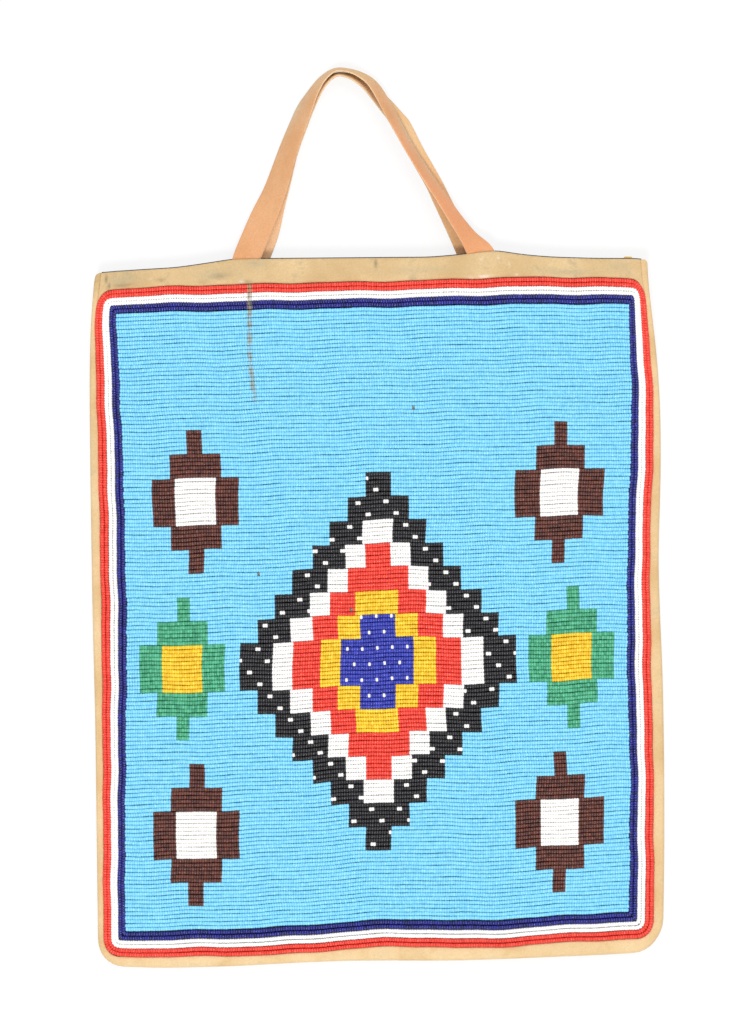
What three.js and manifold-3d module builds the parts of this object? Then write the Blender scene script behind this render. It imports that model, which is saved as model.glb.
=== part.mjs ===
// A flat beaded pouch with two hide handles and a zip at its mouth, lying on its back.
// Millimetres. X runs across the pouch, Y towards the mouth, Z up from the surface it lies on.
import * as THREE from "three";
import { mergeVertices } from "three/addons/utils/BufferGeometryUtils.js";
import Module from "manifold-3d";

const wasm = await Module();
wasm.setup();

// Driving dimensions of the pouch
const pouchWidth = 270;
const pouchHeight = 336;
const cornerRadius = 13.5;
const fullness = 7.2; // how far the filled middle of the front stands above its sewn edge
const fullnessRun = 50; // distance over which the front rises from its side and bottom seams
const mouthRun = 60; // distance below the mouth over which the side seams open to full depth
const clearance = 0.3; // between pieces that are sewn or laid on each other
const tall = 40; // higher than anything on the pouch, for outlines that cut it
const bindingSlack = 0.45; // between the folded binding and the canvas's slope

// How far the sewn rectangle lies out of square: the tops of the sides lean left, rows climb right
const sideLean = 2.25;
const mouthTaper = 1.25;
const rowClimb = 3.3;

// Hide and canvas
const backHide = 1.2;
const canvas = 0.9;
const bindingHide = 1.1;
const bandHide = 1.1;
const bandHeight = 10.4;
const bandOverCanvas = 5; // how far below the mouth the panels stop, under the bands
const panelUnderBand = 0.5;
const bandEdge = 0.4; // strip along the mouth over which the band's edge is eased
const bandEdgeDrop = 0.35;
const bindingEase = 0.4; // bevel on the folded edge of the binding
const bindingEaseDrop = 0.5;
const bindingFrontGap = 0.3; // from the binding's front edge to the first border row
const arcSteps = 5;
const arcNarrowing = 0.6; // the binding's front edge runs closer to the outline round a corner
const backRise = 18; // distance over which the back panel sinks to the surface from its seams
const bindingOnBack = 7;

// Beadwork
const beadRow = 1.9; // pitch of one row of beads
const beadHeight = 1.9;
const beadGroove = 0.9; // height of the backing thread and bead flanks between two lanes
const ridgeGroove = 1.35; // height of the ground between its ridges
const rowsPerLane = 2; // in the border bands
const rowsPerRidge = 3; // the ground's rows are drawn three to a ridge
const borderBands = ["red", "white", "navy"];
const edgeLeft = 3.5; // from the pouch's edge to the first border row
const edgeRight = 4.4;
const edgeBottom = 5.3;
const edgeTop = 10.8;
const bandGap = 0.3;
const borderCorner = 7.7; // radius of the outermost border row at the corners

// Bead fields: terraced diamonds, in steps of whole ridges
const stepLanes = 2;
const fieldUnit = pouchWidth / 54;
const stepWidth = 1.72 * fieldUnit;
const smallestStep = 2;
const designDrop = 26; // the middle of the design lies this far below the middle of the pouch
const centreRings = [
  { name: "beads_black_ring", half: 13.2 * fieldUnit, colour: 0x17161a },
  { name: "beads_white_ring", half: 10 * fieldUnit, colour: 0xf2efea },
  { name: "beads_red_ring", half: 8.04 * fieldUnit, colour: 0xd8392e },
  { name: "beads_yellow_ring", half: 5.48 * fieldUnit, colour: 0xf0c419 },
  { name: "beads_blue_core", half: 3.48 * fieldUnit, colour: 0x2b35a0 },
];
const sideDiamondHalf = 4.1 * fieldUnit;
const sideDiamondCore = 1.9 * fieldUnit;
const besideCentre = 18.6 * fieldUnit;
const aboveBeside = 17.2 * fieldUnit;
const fieldRise = 0.238 * pouchHeight; // of the upper and lower diamonds from the middle of the design
const sideDiamonds = [
  { name: "upper_left", across: -aboveBeside, up: fieldRise, ring: 0x3f2320, core: 0xf2efea },
  { name: "upper_right", across: aboveBeside, up: fieldRise, ring: 0x3f2320, core: 0xf2efea },
  { name: "middle_left", across: -besideCentre, up: 0, ring: 0x2f8f63, core: 0xf0c419 },
  { name: "middle_right", across: besideCentre, up: 0, ring: 0x2f8f63, core: 0xf0c419 },
  { name: "lower_left", across: -aboveBeside, up: -fieldRise, ring: 0x3f2320, core: 0xf2efea },
  { name: "lower_right", across: aboveBeside, up: -fieldRise, ring: 0x3f2320, core: 0xf2efea },
];

// Zip
const tapeThickness = 0.4;
const tapeStands = 0.6; // the tape's edge shows this far above the band
const tapeShort = 0.5; // from the tape's end to the binding
const chainDepth = 5; // middle of the teeth below the mouth's edge
const toothPitch = 3;
const toothWide = 1.1; // along the zip
const toothTip = 0.8; // along the zip, at the meshing end
const toothHigh = 2;
const toothOverlap = 0.9; // how far each row reaches past the middle of the chain
const chainWidth = 3.6;
const spineWidth = 0.7;
const chainFromEnd = 12.6; // first of the teeth from the end of the mouth
const firstTooth = 1.2; // from the chain's start to the middle of its first tooth
const lastTooth = 0.2; // least from the last tooth to the chain's end
const sliderFromEnd = 9.7; // middle of the resting slider from the end of the mouth
const sliderLength = 8.4;
const sliderWidth = 5.2;
const sliderPlate = 0.75;
const sliderFlange = 0.45;
const flangeDrop = 0.8;
const plateTaper = 2; // length of the slider's narrowing front
const plateNose = 0.9; // how much it narrows there on each side
const plateCorner = 0.5;
const flangeShort = 0.4; // from the flanges' end to the start of the taper
const postLength = 1.6;
const postWidth = 1.2;
const bridgeWidth = 1.2;
const bridgeLength = 4.6;
const bridgeHeight = 2.5;
const bridgeWall = 0.8;
const bridgeRound = 1.1;
const bridgeSill = 0.3; // the floor of the bridge's eye above the plate
const weld = 0.2; // how far cast parts of the slider run into each other
const tabLength = 14;
const tabWidth = 3.4;
const tabThickness = 0.8;
const tabEye = 3.1; // from the pivot to the end of the eye
const tabPin = 0.4; // half the bar of the tab that turns in the bridge
const tabHole = 0.8;
const tabDroop = 6; // degrees that the resting tab leans down onto the chain
const stopLength = 2;

// Handles
const strapThickness = 1.3;
const strapAir = 0.5; // between the two straps where they lie in each other
const strapEase = 0.5; // bevel along a strap's edges
const strapOverBack = 0.1; // the back strap's foot swells this far above the back panel
const layFloor = 0.2; // least height of a strap over the surface

// Colours of hide, canvas and metal
const hideColour = 0xdcb98c;
const strapColour = 0xe0a877;
const canvasColour = 0xe6dcc6;
const tapeColour = 0x2e3342;
const brassColour = 0xc39a4a;

// Heights in the stack, from the surface up
const backSeam = bindingHide + clearance;
const canvasSeam = backSeam + backHide + clearance;
const halfWidth = pouchWidth / 2;
const halfHeight = pouchHeight / 2;
const edgeWall = bindingHide + clearance; // panels end this far inside the binding

const clamp = (value, low, high) => Math.min(high, Math.max(low, value));
const mix = (a, b, share) => a + (b - a) * share;

// Distances from the seams at which the soft slope is drawn as straight facets
const slopeStations = [0.2, 0.5, 1].map((share) => edgeWall + share * fullnessRun);

function softSlope(distance) {
  const stations = [edgeWall, ...slopeStations];
  const height = (d) => Math.sin((Math.PI / 2) * clamp((d - edgeWall) / fullnessRun, 0, 1));
  if (distance <= edgeWall) return 0;
  const next = stations.findIndex((d) => d >= distance);
  if (next < 0) return 1;
  const low = stations[next - 1];
  const share = (distance - low) / (stations[next] - low);
  return mix(height(low), height(stations[next]), share);
}

const mouthStations = [mouthRun, mouthRun * 0.66, mouthRun * 0.33].map((d) => halfHeight - d);

const mouthOpenness = (t) => clamp((t - (halfHeight - mouthRun)) / mouthRun, 0, 1);

// Underside of the front canvas at a place in the sewn rectangle
function canvasUnder(s, t) {
  const side = mix(softSlope(halfWidth - Math.abs(s)), 1, mouthOpenness(t));
  return canvasSeam + fullness * side * softSlope(t + halfHeight);
}

const canvasTop = (s, t) => canvasUnder(s, t) + canvas;

// Underside of the back panel: on the surface in the middle, lifted at its seams
function backUnder(s, t) {
  const inside = Math.min(halfWidth - Math.abs(s), halfHeight - Math.abs(t));
  return backSeam * (1 - clamp((inside - bindingOnBack - 1) / backRise, 0, 1));
}

// The place where a point of the sewn rectangle lies
function lie(s, t) {
  const u = s / halfWidth;
  const v = t / halfHeight;
  return [s - sideLean * v - mouthTaper * u * v, t + rowClimb * u];
}

// Solids from triangles
function solidOf(geometry) {
  const bare = geometry.clone();
  bare.deleteAttribute("normal");
  bare.deleteAttribute("uv");
  const merged = mergeVertices(bare, 1e-4);
  return new wasm.Manifold(
    new wasm.Mesh({
      numProp: 3,
      vertProperties: merged.attributes.position.array,
      triVerts: new Uint32Array(merged.index.array),
    }),
  );
}

function geometryOf(solid) {
  const mesh = solid.getMesh();
  const geometry = new THREE.BufferGeometry();
  geometry.setAttribute("position", new THREE.BufferAttribute(mesh.vertProperties, 3));
  geometry.setIndex(new THREE.BufferAttribute(mesh.triVerts, 1));
  return geometry;
}

function indexed(points, faces) {
  const geometry = new THREE.BufferGeometry();
  geometry.setAttribute("position", new THREE.Float32BufferAttribute(points.flat(), 3));
  geometry.setIndex(faces.flat());
  return geometry;
}

// A closed sheet over a grid of lines in s and t, with its under and upper heights as functions
function sheet(sLines, tLines, under, upper, bend = (s, t) => t) {
  const points = [];
  const across = sLines.length;
  const count = across * tLines.length;
  for (const height of [under, upper])
    for (const t of tLines)
      for (const s of sLines) points.push([s, bend(s, t), height(s, bend(s, t))]);
  const at = (i, j, layer) => layer * count + j * across + i;
  const faces = [];
  const quad = (a, b, c, d) => faces.push([a, b, c], [a, c, d]);
  for (let j = 0; j + 1 < tLines.length; j++)
    for (let i = 0; i + 1 < across; i++) {
      quad(at(i, j, 1), at(i + 1, j, 1), at(i + 1, j + 1, 1), at(i, j + 1, 1));
      quad(at(i, j, 0), at(i, j + 1, 0), at(i + 1, j + 1, 0), at(i + 1, j, 0));
    }
  const last = tLines.length - 1;
  for (let i = 0; i + 1 < across; i++) {
    quad(at(i, 0, 0), at(i + 1, 0, 0), at(i + 1, 0, 1), at(i, 0, 1));
    quad(at(i + 1, last, 0), at(i, last, 0), at(i, last, 1), at(i + 1, last, 1));
  }
  for (let j = 0; j < last; j++) {
    quad(at(0, j + 1, 0), at(0, j, 0), at(0, j, 1), at(0, j + 1, 1));
    quad(at(across - 1, j, 0), at(across - 1, j + 1, 0), at(across - 1, j + 1, 1), at(across - 1, j, 1));
  }
  return indexed(points, faces);
}

// A closed body through sections with the same number of points, with flat ends or as a ring
function loft(sections, closed = false) {
  const sides = sections[0].length;
  const rings = sections.length;
  const faces = [];
  for (let k = 0; k < (closed ? rings : rings - 1); k++) {
    const next = (k + 1) % rings;
    for (let i = 0; i < sides; i++) {
      const j = (i + 1) % sides;
      const a = k * sides + i;
      const b = k * sides + j;
      const c = next * sides + j;
      const d = next * sides + i;
      faces.push([a, b, c], [a, c, d]);
    }
  }
  if (!closed) {
    const ends = THREE.ShapeUtils.triangulateShape(flatSection(sections[0]), []);
    for (const [a, b, c] of ends) faces.push([a, c, b]);
    const far = (rings - 1) * sides;
    const farEnds = THREE.ShapeUtils.triangulateShape(flatSection(sections[rings - 1]), []);
    for (const [a, b, c] of farEnds) faces.push([far + a, far + b, far + c]);
  }
  return indexed(sections.flat(), faces);
}

// A section's points in its own plane
function flatSection(points) {
  const at = points.map((p) => new THREE.Vector3(...p));
  const normal = new THREE.Vector3();
  at.forEach((p, i) => {
    normal.add(new THREE.Vector3().crossVectors(p, at[(i + 1) % at.length]));
  });
  const turn = new THREE.Quaternion().setFromUnitVectors(normal.normalize(), new THREE.Vector3(0, 0, 1));
  return at.map((p) => {
    const flat = p.applyQuaternion(turn);
    return new THREE.Vector2(flat.x, flat.y);
  });
}

// A section runs clockwise or not as its builder wrote it: a body is always turned to face out
function facingOut(geometry) {
  const p = geometry.attributes.position;
  const index = geometry.index.array;
  const [a, b, c] = [new THREE.Vector3(), new THREE.Vector3(), new THREE.Vector3()];
  let volume = 0;
  for (let i = 0; i < index.length; i += 3) {
    a.fromBufferAttribute(p, index[i]);
    b.fromBufferAttribute(p, index[i + 1]);
    c.fromBufferAttribute(p, index[i + 2]);
    volume += a.dot(b.cross(c));
  }
  if (volume < 0)
    for (let i = 0; i < index.length; i += 3) index.subarray(i, i + 3).reverse();
  return geometry;
}

function laid(geometry) {
  const p = geometry.attributes.position;
  for (let i = 0; i < p.count; i++) {
    const [x, y] = lie(p.getX(i), p.getY(i));
    p.setXY(i, x, y);
  }
  return geometry;
}

function prism(outline, low, high) {
  const shape = { depth: high - low, bevelEnabled: false, curveSegments: 5 };
  return new THREE.ExtrudeGeometry(outline, shape).translate(0, 0, low);
}

const pouch = new THREE.Group();

function finish(color, roughness, metalness = 0) {
  return new THREE.MeshStandardMaterial({ color, roughness, metalness });
}

function add(parent, name, geometry, material) {
  geometry.computeVertexNormals();
  const mesh = new THREE.Mesh(geometry, material);
  mesh.name = name;
  parent.add(mesh);
  return mesh;
}

// The sewn rectangle drawn in by an inset, with rounded corners at the bottom
function pouchOutline(inset, top) {
  const x = halfWidth - inset;
  const low = inset - halfHeight;
  const r = cornerRadius - inset;
  const outline = new THREE.Shape();
  outline.moveTo(-x, top);
  outline.lineTo(-x, low + r);
  outline.absarc(-x + r, low + r, r, Math.PI, 1.5 * Math.PI, false);
  outline.lineTo(x - r, low);
  outline.absarc(x - r, low + r, r, 1.5 * Math.PI, 2 * Math.PI, false);
  outline.lineTo(x, top);
  outline.closePath();
  return outline;
}

const sideStations = slopeStations.map((d) => halfWidth - d);
const acrossStations = [...sideStations.map((s) => -s), ...sideStations].sort((a, b) => a - b);
const bottomStations = slopeStations.map((d) => d - halfHeight);

// Front canvas
const panelTop = halfHeight - bandOverCanvas - panelUnderBand;
const panelEdge = halfWidth - edgeWall;
const canvasSheet = sheet(
  [-panelEdge, ...acrossStations, panelEdge],
  [edgeWall - halfHeight, ...bottomStations, ...mouthStations, panelTop],
  canvasUnder,
  canvasTop,
);
const panelOutline = solidOf(prism(pouchOutline(edgeWall, halfHeight), -1, tall));
const canvasSolid = solidOf(canvasSheet).intersect(panelOutline);
add(pouch, "front_panel", laid(geometryOf(canvasSolid)), finish(canvasColour, 0.95));

// Back panel of hide
const backLines = (half) => [half - 1 - bindingOnBack - backRise, half - 1 - bindingOnBack];
const backAcross = backLines(halfWidth);
const backAlong = backLines(halfHeight);
const backSheet = sheet(
  [-panelEdge, -backAcross[1], -backAcross[0], ...backAcross, panelEdge],
  [edgeWall - halfHeight, -backAlong[1], -backAlong[0], backAlong[0], backAlong[1], panelTop],
  backUnder,
  (s, t) => backUnder(s, t) + backHide,
);
const backSolid = solidOf(backSheet).intersect(panelOutline);
add(pouch, "back_panel", laid(geometryOf(backSolid)), finish(hideColour, 0.9));

// Side binding: one strip folded over the edge, from the mouth down, round the bottom and up again
const bindingStations = [];
const addStation = (s, t, outS, outT, flange) => bindingStations.push({ s, t, out: [outS, outT], flange });
const leftFlange = edgeLeft - bindingFrontGap;
const rightFlange = edgeRight - bindingFrontGap;
const bottomFlange = edgeBottom - bindingFrontGap;
const arcStart = cornerRadius - halfHeight;
const sideLevels = [halfHeight, ...mouthStations.toReversed(), ...bottomStations.toReversed()].filter(
  (t) => t > arcStart,
);
for (const t of sideLevels) addStation(-halfWidth, t, -1, 0, leftFlange);
for (let k = 0; k <= arcSteps; k++) {
  const angle = Math.PI * (1 + (0.5 * k) / arcSteps);
  const out = [Math.cos(angle), Math.sin(angle)];
  addStation(
    cornerRadius - halfWidth + cornerRadius * out[0],
    arcStart + cornerRadius * out[1],
    ...out,
    mix(leftFlange, bottomFlange, k / arcSteps) - arcNarrowing * Math.sin((Math.PI * k) / arcSteps),
  );
}
for (const s of acrossStations.filter((s) => Math.abs(s) < halfWidth - cornerRadius))
  addStation(s, -halfHeight, 0, -1, bottomFlange);
for (let k = 0; k <= arcSteps; k++) {
  const angle = Math.PI * (1.5 + (0.5 * k) / arcSteps);
  const out = [Math.cos(angle), Math.sin(angle)];
  addStation(
    halfWidth - cornerRadius + cornerRadius * out[0],
    arcStart + cornerRadius * out[1],
    ...out,
    mix(bottomFlange, rightFlange, k / arcSteps) - arcNarrowing * Math.sin((Math.PI * k) / arcSteps),
  );
}
for (const t of sideLevels.toReversed()) addStation(halfWidth, t, 1, 0, rightFlange);

function bindingSection({ s, t, out, flange }) {
  const place = (inward, z) => [s - inward * out[0], t - inward * out[1], z];
  const under = (inward) => canvasTop(s - inward * out[0], t - inward * out[1]) + bindingSlack;
  const middle = (bindingHide + flange) / 2;
  return [
    place(0, 0),
    place(bindingOnBack, 0),
    place(bindingOnBack, bindingHide),
    place(bindingHide, bindingHide),
    place(bindingHide, under(bindingHide)),
    place(middle, under(middle)),
    place(flange, under(flange)),
    place(flange, under(flange) + bindingHide),
    place(middle, under(middle) + bindingHide),
    place(bindingEase, under(0) + bindingHide),
    place(0, under(0) + bindingHide - bindingEaseDrop),
  ];
}
const binding = facingOut(loft(bindingStations.map(bindingSection)));
add(pouch, "side_binding", laid(binding), finish(hideColour, 0.9));

// Bands along the mouth, front and back, between the ends of the binding
const bandLow = halfHeight - bandHeight;
const bandLines = [bandLow, (bandLow + halfHeight) / 2, halfHeight - bandEdge, halfHeight];
const bandRound = (t) => (t === halfHeight ? bandEdgeDrop : 0);
const bandLeft = leftFlange + clearance - halfWidth;
const bandRight = halfWidth - rightFlange - clearance;
// Its lower edge follows the border round the corners
const turnLeft = halfWidth - edgeLeft - borderCorner;
const turnRight = halfWidth - edgeRight - borderCorner;
function cornerDrop(s) {
  const past = Math.max(0, s > 0 ? s - turnRight : -s - turnLeft);
  return borderCorner - Math.sqrt(Math.max(0, borderCorner ** 2 - past ** 2));
}
const bandBend = (s, t) => (t === bandLow ? t - cornerDrop(s) : t);
const turnShares = [0.5, 0.87];
const bandTurns = turnShares
  .map((share) => share * borderCorner)
  .flatMap((past) => [-turnLeft - past, turnRight + past]);
const bandMarks = [...acrossStations, ...bandTurns, -turnLeft, turnRight];
const bandBetween = bandMarks.filter((s) => s > bandLeft + clearance && s < bandRight - clearance);
const frontBand = sheet(
  [bandLeft, ...bandBetween.sort((a, b) => a - b), bandRight],
  bandLines,
  (s, t) => canvasTop(s, t) + clearance,
  (s, t) => canvasTop(s, t) + clearance + bandHide - bandRound(t),
  bandBend,
);
add(pouch, "top_band_front", laid(frontBand), finish(hideColour, 0.9));
const backBandEnd = bindingOnBack + clearance;
const backBand = sheet(
  [-halfWidth + backBandEnd, 0, halfWidth - backBandEnd],
  bandLines,
  (s, t) => bandRound(t),
  () => bandHide,
);
add(pouch, "top_band_back", laid(backBand), finish(hideColour, 0.9));

// Beadwork: the ground lies in ridges of rows side by side
const lane = beadRow * rowsPerLane;
const beadBase = (s, t) => canvasTop(s, t) + clearance;
const borderWidth = borderBands.length * lane;
const groundLeft = edgeLeft + borderWidth + bandGap - halfWidth;
const groundRight = halfWidth - edgeRight - borderWidth - bandGap;
const groundHigh = halfHeight - edgeTop - borderWidth - bandGap;
const groundLow = edgeBottom + borderWidth + bandGap - halfHeight;
const laneCount = Math.round((groundHigh - groundLow) / (beadRow * rowsPerRidge));
const lanePitch = (groundHigh - groundLow) / laneCount;
const groundLines = Array.from({ length: 2 * laneCount + 1 }, (_, k) => groundLow + (k * lanePitch) / 2);
const isCrest = (t) => Math.round((2 * (t - groundLow)) / lanePitch) % 2 === 1;
const beadTop = (s, t) => beadBase(s, t) + (isCrest(t) ? beadHeight : ridgeGroove);
const groundBetween = acrossStations.filter((s) => s > groundLeft && s < groundRight);
const groundAcross = [groundLeft, ...groundBetween, groundRight];
const beadSlab = solidOf(sheet(groundAcross, groundLines, beadBase, beadTop));

// A terraced diamond, widest at its middle and one step narrower at each terrace, grown by a margin
function terracedDiamond(across, up, half, margin) {
  const stepHigh = stepLanes * lanePitch;
  const middle = groundLow + lanePitch * Math.round((up - designDrop - groundLow) / lanePitch);
  const widths = [];
  for (let w = half; w >= smallestStep; w -= stepWidth) widths.push(w);
  const rightSide = [];
  widths.forEach((w, k) => {
    const low = k === 0 ? -stepHigh : k * stepHigh + margin;
    if (k > 0) rightSide.push([w + margin, low]);
    rightSide.push([w + margin, (k + 1) * stepHigh + margin]);
  });
  const upper = rightSide.map(([x, y]) => new THREE.Vector2(across + x, middle + y));
  const lower = rightSide.map(([x, y]) => new THREE.Vector2(across + x, middle - y)).reverse();
  const right = [...lower, ...upper];
  const left = right.map((p) => new THREE.Vector2(2 * across - p.x, p.y)).reverse();
  return new THREE.Shape([...right, ...left]);
}

const halfGap = bandGap / 2;
const cutter = (diamond, margin) =>
  solidOf(prism(terracedDiamond(diamond.across, diamond.up, diamond.half, margin), -1, tall));

let ground = beadSlab;
const fields = centreRings.map((ring) => ({ ...ring, across: 0, up: 0 }));
fields.forEach((field, k) => {
  const inner = fields[k + 1];
  let solid = beadSlab.intersect(cutter(field, -halfGap));
  if (inner) solid = solid.subtract(cutter(inner, halfGap));
  field.solid = solid;
});
ground = ground.subtract(cutter(fields[0], halfGap));
for (const side of sideDiamonds) {
  const ring = { ...side, half: sideDiamondHalf };
  const core = { ...side, half: sideDiamondCore };
  const ringSolid = beadSlab.intersect(cutter(ring, -halfGap)).subtract(cutter(core, halfGap));
  fields.push({ name: "beads_" + side.name + "_ring", colour: side.ring, solid: ringSolid });
  fields.push({
    name: "beads_" + side.name + "_core",
    colour: side.core,
    solid: beadSlab.intersect(cutter(core, -halfGap)),
  });
  ground = ground.subtract(cutter(ring, halfGap));
}
add(pouch, "beads_sky_ground", laid(geometryOf(ground)), finish(0x7fcbe8, 0.35));
for (const field of fields)
  add(pouch, field.name, laid(geometryOf(field.solid)), finish(field.colour, 0.35));

// Border bands: closed rings of two bead rows that turn at mitred corners
const bandColours = { red: 0xd8392e, white: 0xf4f1ec, navy: 0x20246e };
function borderBand(order) {
  const rowShares = [0, 0.25, 0.5, 0.75, 1]; // groove, row, groove, row, groove
  const inset = order * lane + halfGap;
  const width = lane - bandGap;
  const insetAt = (share) => inset + share * width;
  const section = (point) => {
    const low = [0, 0.5, 1].map((share) => point(insetAt(share)));
    const high = rowShares.map((share) => point(insetAt(share)));
    return [
      ...low.map(([s, t]) => [s, t, beadBase(s, t)]),
      ...high.map(([s, t], k) => [s, t, beadBase(s, t) + (k % 2 ? beadHeight : beadGroove)]).reverse(),
    ];
  };
  const left = (d) => edgeLeft + d - halfWidth;
  const right = (d) => halfWidth - edgeRight - d;
  const low = (d) => edgeBottom + d - halfHeight;
  const high = (d) => halfHeight - edgeTop - d;
  const reach = Math.max(insetAt(1), borderCorner) + bandGap;
  const betweenS = acrossStations.filter((s) => s > left(reach) && s < right(reach));
  const betweenT = [...bottomStations, ...mouthStations].filter((t) => t > low(reach) && t < high(reach));
  const rising = betweenT.sort((a, b) => a - b);
  // The outer bands turn on an arc, the inner one, past the arc's centre, on a mitre
  const corner = (s, t, start) => {
    if (insetAt(1) > borderCorner) return [section((d) => [s(d), t(d)])];
    const sideS = s(1) > s(0) ? 1 : -1;
    const sideT = t(1) > t(0) ? 1 : -1;
    const centre = [s(0) + sideS * borderCorner, t(0) + sideT * borderCorner];
    return [0, 1, 2].map((k) => {
      const angle = start + (k * Math.PI) / 4;
      return section((d) => [
        centre[0] + (borderCorner - d) * Math.cos(angle),
        centre[1] + (borderCorner - d) * Math.sin(angle),
      ]);
    });
  };
  const sections = [
    ...corner(left, low, Math.PI),
    ...betweenS.map((s) => section((d) => [s, low(d)])),
    ...corner(right, low, 1.5 * Math.PI),
    ...rising.map((t) => section((d) => [right(d), t])),
    ...corner(right, high, 0),
    ...betweenS.toReversed().map((s) => section((d) => [s, high(d)])),
    ...corner(left, high, 0.5 * Math.PI),
    ...rising.toReversed().map((t) => section((d) => [left(d), t])),
  ];
  return facingOut(loft(sections, true));
}
borderBands.forEach((colour, order) => {
  add(pouch, "border_" + colour, laid(borderBand(order)), finish(bandColours[colour], 0.35));
});

// Zip: its own frame has X along the mouth, Y out of it and its origin at the mouth's middle
const zip = new THREE.Group();
const mouthMiddle = lie(0, halfHeight);
const mouthRight = lie(halfWidth, halfHeight);
const mouthAngle = Math.atan2(mouthRight[1] - mouthMiddle[1], mouthRight[0] - mouthMiddle[0]);
const mouthHalf = Math.hypot(mouthRight[0] - mouthMiddle[0], mouthRight[1] - mouthMiddle[1]);
zip.position.set(mouthMiddle[0], mouthMiddle[1], 0);
zip.rotation.z = mouthAngle;
pouch.add(zip);

const strapFrontLow = canvasSeam + fullness + canvas - strapThickness;
const strapBackHigh = backSeam + backHide + strapOverBack;
const tapeFront = strapFrontLow - clearance;
const tapeBack = strapBackHigh + clearance;
const chainZ = (tapeFront + tapeBack) / 2;
const tapeHalf = mouthHalf - bindingHide - tapeShort;
const chainStart = chainFromEnd - mouthHalf;
const sliderRest = mouthHalf - sliderFromEnd;

function box(x0, x1, y0, y1, z0, z1) {
  const body = new THREE.BoxGeometry(x1 - x0, y1 - y0, z1 - z0);
  return body.translate((x0 + x1) / 2, (y0 + y1) / 2, (z0 + z1) / 2);
}

// Each tape stands along its band and turns in to the teeth: side is +1 at the front, -1 at the back
function tape(side) {
  const face = side > 0 ? tapeFront : tapeBack;
  const z = (inward) => face - side * inward;
  const teethSide = Math.abs(face - chainZ) - chainWidth / 2 - clearance;
  const outline = new THREE.Shape([
    new THREE.Vector2(tapeStands, z(0)),
    new THREE.Vector2(tapeStands, z(tapeThickness)),
    new THREE.Vector2(tapeThickness / 2 - chainDepth, z(tapeThickness)),
    new THREE.Vector2(tapeThickness / 2 - chainDepth, z(teethSide)),
    new THREE.Vector2(-tapeThickness / 2 - chainDepth, z(teethSide)),
    new THREE.Vector2(-tapeThickness / 2 - chainDepth, z(0)),
  ]);
  const body = new THREE.ExtrudeGeometry(outline, { depth: 2 * tapeHalf, bevelEnabled: false });
  const turn = new THREE.Matrix4().set(0, 0, 1, -tapeHalf, 1, 0, 0, 0, 0, 1, 0, 0, 0, 0, 0, 1);
  return body.applyMatrix4(turn);
}
add(zip, "zip_tape_front", tape(1), finish(tapeColour, 0.9));
add(zip, "zip_tape_back", tape(-1), finish(tapeColour, 0.9));

const brass = () => finish(brassColour, 0.35, 1);

// A body whose outline is drawn in X and Z, stood up so that its depth runs down Y from a height
function standing(body, high) {
  return body.applyMatrix4(new THREE.Matrix4().set(1, 0, 0, 0, 0, 0, -1, high, 0, 1, 0, 0, 0, 0, 0, 1));
}

// Each row of teeth is clamped on the bead of its tape; the two rows stand half a pitch apart
const chainEnd = sliderRest + sliderLength / 2 - postLength - clearance;
function teeth(side) {
  const z = (outward) => chainZ + side * outward;
  const spineOuter = chainWidth / 2;
  const spineInner = spineOuter - spineWidth;
  const outline = [new THREE.Vector2(chainStart, z(spineOuter))];
  const shift = side > 0 ? 0 : toothPitch / 2;
  outline.push(new THREE.Vector2(chainStart, z(spineInner)));
  for (let x = chainStart + firstTooth + shift; x + toothWide / 2 < chainEnd - lastTooth; x += toothPitch)
    outline.push(
      new THREE.Vector2(x - toothWide / 2, z(spineInner)),
      new THREE.Vector2(x - toothTip / 2, z(-toothOverlap)),
      new THREE.Vector2(x + toothTip / 2, z(-toothOverlap)),
      new THREE.Vector2(x + toothWide / 2, z(spineInner)),
    );
  outline.push(new THREE.Vector2(chainEnd, z(spineInner)), new THREE.Vector2(chainEnd, z(spineOuter)));
  const shape = { depth: toothHigh, bevelEnabled: false };
  return standing(new THREE.ExtrudeGeometry(new THREE.Shape(outline), shape), toothHigh / 2 - chainDepth);
}
add(zip, "zip_teeth_front", teeth(1), brass());
add(zip, "zip_teeth_back", teeth(-1), brass());

// Stops: one clamp over both rows at the left, one on each row at the right
const stopHalf = toothHigh / 2;
const stopAt = (x0, z0, z1) =>
  box(x0, x0 + stopLength, -chainDepth - stopHalf, -chainDepth + stopHalf, z0, z1);
add(
  zip,
  "zip_bottom_stop",
  stopAt(chainStart - clearance - stopLength, chainZ - chainWidth / 2, chainZ + chainWidth / 2),
  brass(),
);
const topStopX = sliderRest + sliderLength / 2 + clearance;
const rowZ = chainWidth / 2 - spineWidth;
add(zip, "zip_top_stop_front", stopAt(topStopX, chainZ + rowZ, chainZ + chainWidth / 2), brass());
add(zip, "zip_top_stop_back", stopAt(topStopX, chainZ - chainWidth / 2, chainZ - rowZ), brass());

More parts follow.
